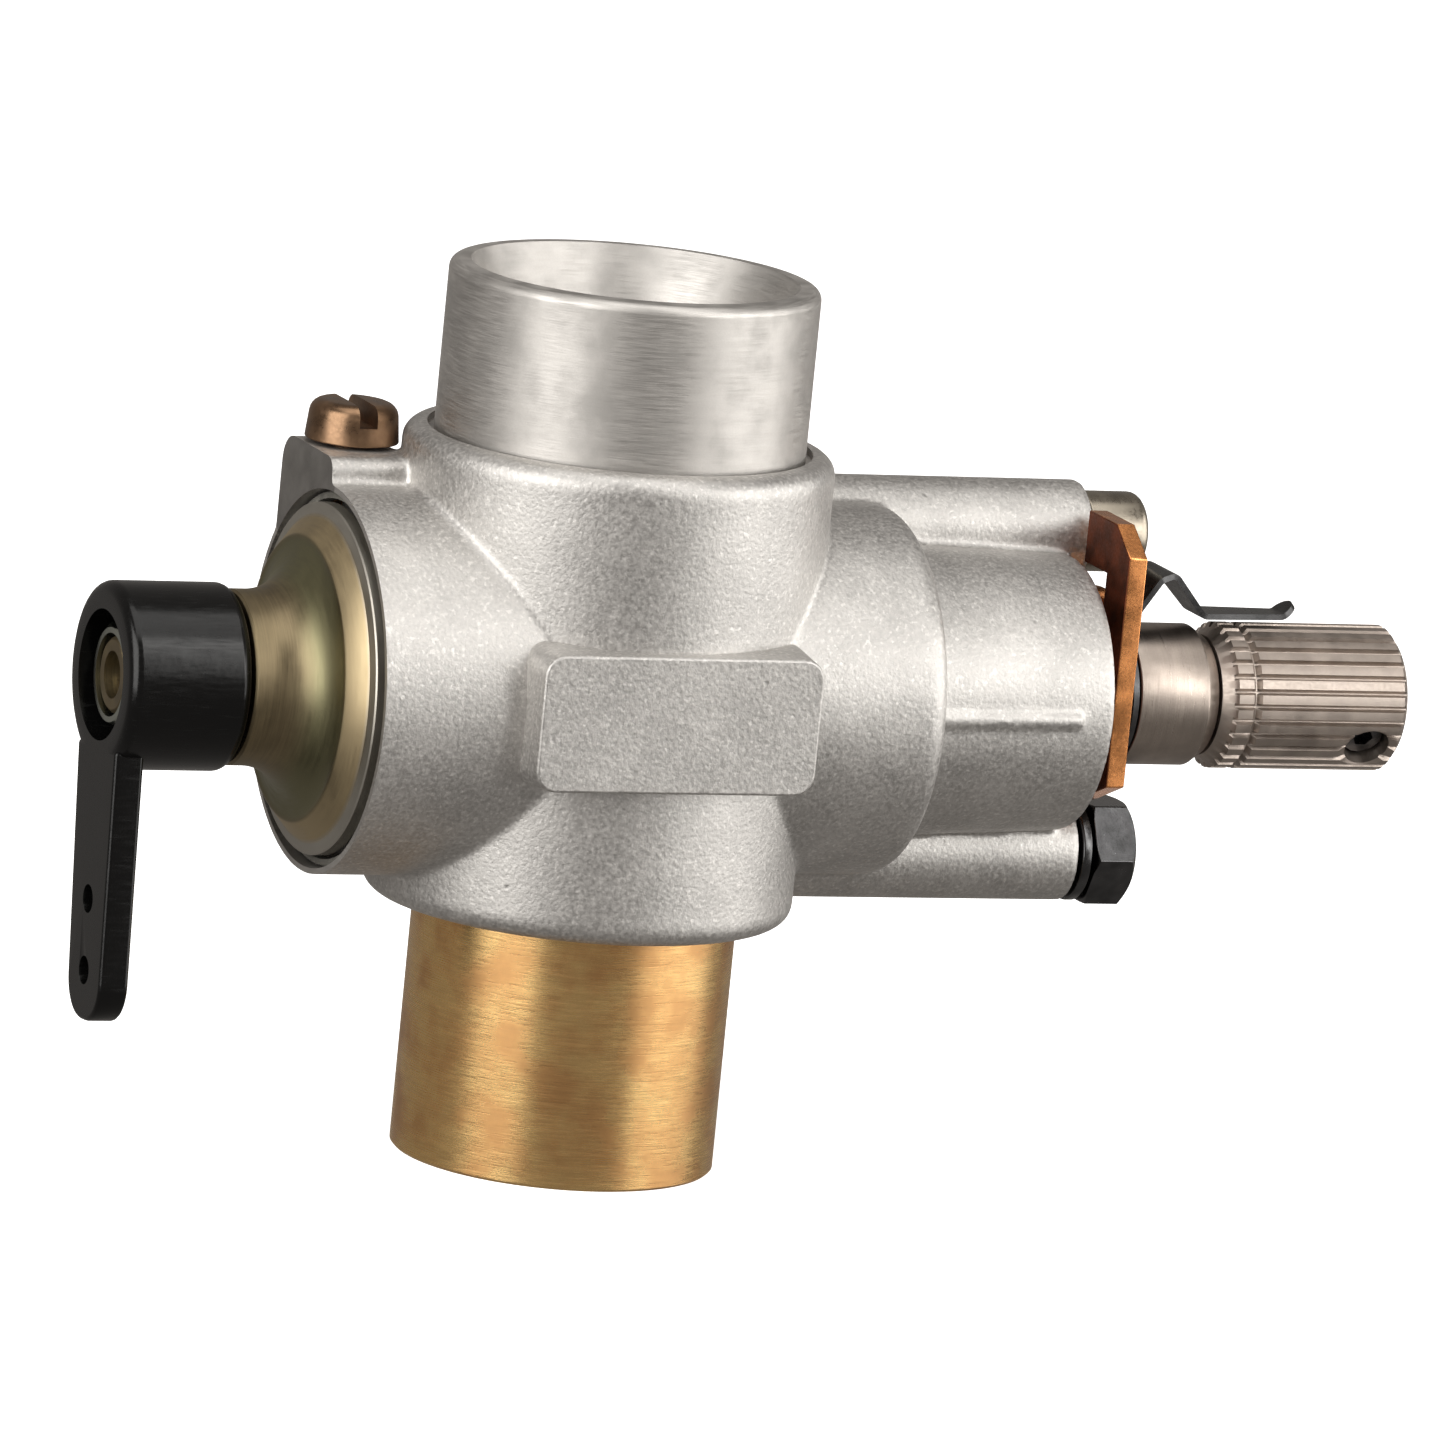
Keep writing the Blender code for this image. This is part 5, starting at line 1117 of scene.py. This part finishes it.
def leaf_spring(s):
    """The ratchet spring: a ring under the holder and a tapering strip bent over the knob."""
    half = s.leaf_thickness / 2
    left = LEAF_LOW.x
    bore = s.thread_radius + SLIP
    run_height = KNOB_HIGH.z + 0.3 * MM + half
    end = Vector((LEAF_HIGH.x - 0.1 * MM, run_height + 0.5 * MM))
    corners = [
        (left + half, bore + 0.15 * MM, 0), (left + half, HOLDER_HIGH.z + 0.25 * MM, 0.5 * MM),
        (left + 1.45 * MM, 5.25 * MM, 0.45 * MM), (left + 2.15 * MM, 5.45 * MM, 0.4 * MM),
        (left + 3.85 * MM, run_height, 0.5 * MM), (end.x - 0.62 * MM, run_height, 0.4 * MM), (*end, 0),
    ]
    path = [Vector(p) for p in rounded(corners, 6)]
    last = path.pop()
    tip = s.leaf_tip / 2
    direction = (last - path[-1]).normalized()
    rounding = [last - direction * tip * (1 - math.sin(math.radians(a))) for a in range(0, 91, 15)]
    path = [p for p in path if p.x < rounding[0].x - 0.02 * MM] + rounding
    sections = []
    for i, here in enumerate(path):
        before = (here - path[i - 1]).normalized() if i else (path[1] - here).normalized()
        after = (path[i + 1] - here).normalized() if i + 1 < len(path) else before
        side = Vector((-(before + after).y, (before + after).x)).normalized()
        reach = half / max(side.dot(Vector((-after.y, after.x))), 0.5)
        share = min(max((here.x - left - 1.5 * MM) / (3.5 * MM), 0), 1)
        width = s.leaf_width / 2 * (1 - share) + tip * share
        gone = tip - (last - here).length
        if gone > 0:
            width = max(math.sqrt(max(tip**2 - gone**2, 0)), 0.05 * MM)
        section = []
        for up, across in ((1, 1), (1, -1), (-1, -1), (-1, 1)):
            spot = here + side * reach * up
            section.append((spot.x, across * width, spot.y))
        sections.append(section)
    strip = swept("strip", sections)
    right = left + s.leaf_thickness
    tab = turned("leaf_spring", [(left, bore), (left, HOLDER_HIGH.z), (right, HOLDER_HIGH.z), (right, bore)])
    return combine(tab, [strip], "UNION", "EXACT")


class CARB_OT_knob(bpy.types.Operator):
    """Build the knurled needle valve with its cross hole"""

    bl_idname = "carb.knob"
    bl_label = "Needle Knob"

    def execute(self, context):
        s = context.scene.carb_needle
        finishes = context.scene.carb_finishes
        radius = KNOB_HIGH.z
        right = KNOB_HIGH.x
        left = HOLDER_HIGH.x + SEAT_GAP
        root = radius - s.knurl_depth
        cone_end = left + s.knob_cone_length
        groove = cone_end + s.knob_collar
        seal_x = HOLDER_HIGH.x - SEAL_BACK
        outline = [
            (KNOB_LOW.x, 0), (KNOB_LOW.x, 0.1 * MM), (KNOB_LOW.x + 1.8 * MM, s.needle_radius),
            *seal_groove(seal_x, s.needle_radius), (left, s.needle_radius),
            (left, radius - s.knob_cone_depth), (cone_end - 0.12 * MM, root), (cone_end, radius),
            (groove - 0.2 * MM, radius), (groove - 0.03 * MM, root - 0.02 * MM),
            (groove + 0.03 * MM, root - 0.02 * MM), (groove + 0.2 * MM, radius), (right - 0.3 * MM, radius),
            (right - 0.1 * MM, root - 0.02 * MM), (right, root - 0.12 * MM), (right, s.end_bore + 0.1 * MM),
            (right - 0.1 * MM, s.end_bore), (right - s.end_bore_depth, s.end_bore),
            (right - s.end_bore_depth, 0),
        ]
        cut = (0, 0, 0, 0, 0, 0, 0, 0, 0.75, 1, 1, 0.75)
        segments = len(cut) * s.knurl_teeth

        def knurl(along, reach, k):
            return reach - s.knurl_depth * cut[k % len(cut)] if reach > radius - 0.001 * MM else reach

        knob = turned("knurled_knob", outline, segments=segments, tooth=knurl)
        screw_x = (SET_LOW.x + SET_HIGH.x) / 2
        hole = rod("Z", (screw_x, 0), s.cross_hole, 0, 2 * radius)
        ends = radius - 0.22 * MM, radius + 0.3 * MM
        rim = rod("Z", (screw_x, 0), s.cross_hole, *ends, end_radius=s.cross_hole + 0.9 * MM)
        turn = Matrix.Rotation(math.pi / 2 + s.cross_hole_angle, 4, "X")
        for cutter in (hole, rim):
            cutter.data.transform(turn)
        combine(knob, [hole, rim], "DIFFERENCE", "EXACT")
        give(knob, satin_metal("knurled_nickel", finishes.knob, 0.42, 0.12))
        keep(knob, "main_needle", "knob_nickel", "needle_valve")
        return {"FINISHED"}


class CARB_OT_plug_and_pin(bpy.types.Operator):
    """Build the locating pin, and the hexagon plug with its washer"""

    bl_idname = "carb.plug_and_pin"
    bl_label = "Plug and Pin"

    def execute(self, context):
        s = context.scene.carb_needle
        finishes = context.scene.carb_finishes
        head = BODY_HIGH.x + SEAT_GAP
        head_radius = (PIN_HIGH.z - PIN_LOW.z) / 2
        outline = [
            (PIN_LOW.x, 0, 0), (PIN_LOW.x, s.pin_stem, 0.2 * MM), (head, s.pin_stem, 0),
            (head, head_radius, 0.1 * MM), (PIN_HIGH.x, head_radius, s.pin_head), (PIN_HIGH.x, 0, 0),
        ]
        pin = turned("pin_with_head", rounded(outline), "X", (PIN_CENTRE.y, PIN_CENTRE.z), STEM_SEGMENTS)
        give(pin, satin_metal("dull_nickel", finishes.pin, 0.3, 0.2))
        keep(pin, "housing", "pin_nickel", "locating_pin")

        centre = (PLUG_CENTRE.y, PLUG_CENTRE.z)
        head_left = PLUG_WASHER_HIGH.x + SEAT_GAP
        corner = s.plug_flats / 2 * HEXAGON_CORNER
        plug = prism("hexagon_plug", hexagon(s.plug_flats, centre), head_left, PLUG_HIGH.x)
        bevel(plug, 0.05 * MM, 2, 40)
        cone = [
            (head_left - 0.01 * MM, 0), (head_left - 0.01 * MM, s.plug_flats / 2),
            (head_left + 0.16 * MM, corner + 0.05 * MM), (PLUG_HIGH.x - 0.3 * MM, corner + 0.02 * MM),
            (PLUG_HIGH.x, s.plug_flats / 2 - 0.05 * MM), (PLUG_HIGH.x, 0),
        ]
        combine(plug, [turned("plug_chamfer", cone, "X", centre)], "INTERSECT", "EXACT")
        stem = rod("X", centre, s.plug_stem, PLUG_LOW.x, head_left + 0.5 * MM)
        combine(plug, [stem], "UNION", "EXACT")
        black = satin_metal("black_oxide", finishes.black_steel, 0.22, 0.35)
        give(plug, black)
        keep(plug, "housing", "black_steel", "passage_plug")

        outer = (PLUG_WASHER_HIGH.z - PLUG_WASHER_LOW.z) / 2
        bore = s.plug_stem + SEAT_GAP
        ends = PLUG_WASHER_LOW.x, PLUG_WASHER_HIGH.x
        washer = washer_ring("plug_collar", *ends, bore, outer, 0.1 * MM, centre, STEM_SEGMENTS)
        give(washer, black)
        keep(washer, "housing", "black_steel", "plug_washer")
        return {"FINISHED"}


class CARB_OT_fuel_inlet(bpy.types.Operator):
    """Build the barbed fuel inlet at the back"""

    bl_idname = "carb.fuel_inlet"
    bl_label = "Fuel Inlet"

    def execute(self, context):
        s = context.scene.carb_needle
        finishes = context.scene.carb_finishes
        centre = (0, NIPPLE_CENTRE.x)
        back = NIPPLE_HIGH.y
        collar_low = context.scene.carb_casting.inlet_boss_reach + 0.7 * MM
        collar_high = collar_low + s.nipple_collar
        nipple = prism("barbed_nipple", hexagon(s.nipple_flats, centre), collar_low, collar_high, "Y")
        corner = s.nipple_flats / 2 * HEXAGON_CORNER
        cone = [
            (collar_low, 0), (collar_low, s.nipple_flats / 2), (collar_low + 0.15 * MM, corner + 0.02 * MM),
            (collar_high - 0.15 * MM, corner + 0.02 * MM), (collar_high, s.nipple_flats / 2),
            (collar_high, 0),
        ]
        combine(nipple, [turned("nipple_chamfer", cone, "Y", centre)], "INTERSECT", "EXACT")
        stem = rod("Y", centre, 1.5 * MM, NIPPLE_LOW.y, collar_low + 0.4 * MM)
        tube = [
            (collar_high - 0.4 * MM, 0, 0), (collar_high - 0.4 * MM, s.nipple_tube, 0),
            (back - 1.4 * MM, s.nipple_tube, 0), (back - 1.3 * MM, s.nipple_barb, 0.08 * MM),
            (back, s.nipple_tube - 0.1 * MM, 0.08 * MM), (back, 0, 0),
        ]
        tube = turned("nipple_tube", rounded(tube), "Y", centre, STEM_SEGMENTS)
        combine(nipple, [stem, tube], "UNION", "EXACT")
        bore = rod("Y", centre, s.nipple_bore, NIPPLE_LOW.y - OVER, back + OVER)
        combine(nipple, [bore], "DIFFERENCE", "EXACT")
        give(nipple, turned_metal("inlet_brass", finishes.washer, "Y", 0.24, stain=0.3))
        keep(nipple, "housing", "washer_brass", "fuel_inlet_nipple")
        return {"FINISHED"}


class CARB_OT_inner_pieces(bpy.types.Operator):
    """Give the springs, seals, gaskets and nozzle inside the carburettor their finishes"""

    bl_idname = "carb.inner_pieces"
    bl_label = "Inner Pieces"

    def execute(self, context):
        finishes = context.scene.carb_finishes
        rubber = soft_matter("o_ring_rubber", finishes.rubber, 0.05 * MM)
        fibre = soft_matter("gasket_fibre", finishes.fibre, 0.09 * MM)
        wire = turned_metal("spring_wire", SPRING_WIRE, "X", 0.25)
        brass = turned_metal("nozzle_brass", NOZZLE_BRASS, "X", 0.25)
        black = satin_metal("set_screw_black", finishes.black_steel, 0.3)
        chosen = {
            "idle_needle_o_ring": rubber,
            "needle_o_ring": rubber,
            "nozzle_gasket": fibre,
            "holder_gasket": fibre,
            "nipple_gasket": fibre,
            "rotor_spring": wire,
            "spray_nozzle": brass,
            "needle_set_screw": black,
        }
        for node, material in chosen.items():
            mesh = frame["nodes"][node].data
            mesh.materials.clear()
            mesh.materials.append(material)
        return {"FINISHED"}


SOFT_LIGHTS = (  # name, degrees right of and above the camera, width and height in metres, watts
    ("left_softbox", -43, 18, 0.42, 0.5, 2.8),
    ("right_softbox", 84, 10, 0.62, 0.4, 2.2),
    ("top_softbox", 10, 78, 0.5, 0.4, 1.2),
    ("strip_softbox", 50, 32, 0.09, 0.4, 0.6),
)


def soft_light(name, shade, right, up, width, height, power, azimuth):
    """An area light, its place given as angles right of and above the camera's own azimuth."""
    light = bpy.data.lights.new(name, "AREA")
    light.shape = "RECTANGLE"
    light.size = width
    light.size_y = height
    light.energy = power
    light.color = shade
    obj = bpy.data.objects.new(name, light)
    bpy.context.collection.objects.link(obj)
    turn = math.radians(right) - azimuth
    rise = math.radians(up)
    away = Vector((math.sin(turn) * math.cos(rise), -math.cos(turn) * math.cos(rise), math.sin(rise)))
    obj.location = CENTRE + away * BOX_DISTANCE
    obj.rotation_mode = "QUATERNION"
    obj.rotation_quaternion = (-away).to_track_quat("-Z", "Y")


class CARB_OT_stage(bpy.types.Operator):
    """Build the camera, the soft lights and the pale floor"""

    bl_idname = "carb.stage"
    bl_label = "Stage"

    def execute(self, context):
        s = context.scene.carb_stage
        forward = Vector(
            (
                math.sin(s.azimuth) * math.cos(s.elevation),
                math.cos(s.azimuth) * math.cos(s.elevation),
                -math.sin(s.elevation),
            )
        )
        level_right = Vector((math.cos(s.azimuth), -math.sin(s.azimuth), 0))
        level_up = level_right.cross(forward)
        right = level_right * math.cos(s.roll) + level_up * math.sin(s.roll)
        up = level_up * math.cos(s.roll) - level_right * math.sin(s.roll)
        data = bpy.data.cameras.new("camera")
        data.lens = s.lens
        data.sensor_width = 36
        data.clip_start = 0.01
        camera = bpy.data.objects.new("camera", data)
        context.collection.objects.link(camera)
        spot = CENTRE + right * s.aside - up * s.above - forward * s.distance
        turn = Matrix((right, up, -forward)).transposed()
        camera.matrix_world = Matrix.Translation(spot) @ turn.to_4x4()
        context.scene.camera = camera

        tint = tuple(s.light)
        for name, *light in SOFT_LIGHTS:
            soft_light(name, tint, *light, s.azimuth)

        bm = bmesh.new()
        bmesh.ops.create_grid(bm, x_segments=1, y_segments=1, size=6.0)
        floor = solid("floor", bm)
        floor.visible_glossy = False
        floor.visible_diffuse = False
        paint = Finish("pale_floor", roughness=0.9, emission_strength=0.85)
        paint.shader.inputs["Emission Color"].default_value = (1, 1, 1, 1)
        fine = paint.noise(4 * MM, 2.0)
        shade = tuple(s.floor)
        give(floor, paint.feed(base_color=paint.mix(fine * 0.05, shade, shade_of(shade, 0.9))))

        world = bpy.data.worlds.new("studio")
        world.use_nodes = True
        context.scene.world = world
        graph = Graph(world.node_tree)
        dim = graph.node("ShaderNodeBackground", {}, {"Color": ROOM_LIGHT, "Strength": 1.0})
        seen = graph.node("ShaderNodeBackground", {}, {"Color": (1, 1, 1), "Strength": 1.0})
        ray = graph.node("ShaderNodeLightPath", {}, {}, "Is Camera Ray")
        sky = graph.node("ShaderNodeMixShader", {}, {0: ray, 1: dim, 2: seen})
        graph.tree.links.new(sky.socket, graph.tree.nodes["World Output"].inputs[0])
        context.scene.view_settings.view_transform = "Standard"
        return {"FINISHED"}


OPERATORS = (
    CARB_OT_stage,
    CARB_OT_casting,
    CARB_OT_rotor,
    CARB_OT_lever,
    CARB_OT_guide_screw,
    CARB_OT_holder,
    CARB_OT_knob,
    CARB_OT_plug_and_pin,
    CARB_OT_fuel_inlet,
    CARB_OT_inner_pieces,
)
GROUPS = {
    "carb_casting": CastingSizes,
    "carb_throttle": ThrottleSizes,
    "carb_needle": NeedleSizes,
    "carb_finishes": Finishes,
    "carb_stage": StageSettings,
}


class CARB_PT_panel(bpy.types.Panel):
    """Lists the carburettor's pieces and their sizes"""

    bl_idname = "CARB_PT_panel"
    bl_label = "Barrel Carburettor"
    bl_space_type = "VIEW_3D"
    bl_region_type = "UI"
    bl_category = "Carburettor"

    def draw(self, context):
        for operator in OPERATORS:
            self.layout.operator(operator.bl_idname)
        for name, group in GROUPS.items():
            box = self.layout.box()
            for prop in group.__annotations__:
                label = prop.replace("_", " ").capitalize()
                box.prop(getattr(context.scene, name), prop, text=label)


def register():
    for group in GROUPS.values():
        bpy.utils.register_class(group)
    for name, group in GROUPS.items():
        setattr(bpy.types.Scene, name, bpy.props.PointerProperty(type=group))
    for cls in (*OPERATORS, CARB_PT_panel):
        bpy.utils.register_class(cls)


def unregister():
    for cls in (CARB_PT_panel, *reversed(OPERATORS)):
        bpy.utils.unregister_class(cls)
    for name, group in GROUPS.items():
        delattr(bpy.types.Scene, name)
        bpy.utils.unregister_class(group)


def clear_startup():
    """Removes what the startup scene holds besides the frame."""
    for obj in list(bpy.data.objects):
        if obj.name in ("Cube", "Light", "Camera") and obj.name not in frame["nodes"]:
            bpy.data.objects.remove(obj)


def main():
    register()
    clear_startup()
    for operator in OPERATORS:
        family, name = operator.bl_idname.split(".")
        getattr(getattr(bpy.ops, family), name)()


if __name__ == "__main__":
    main()
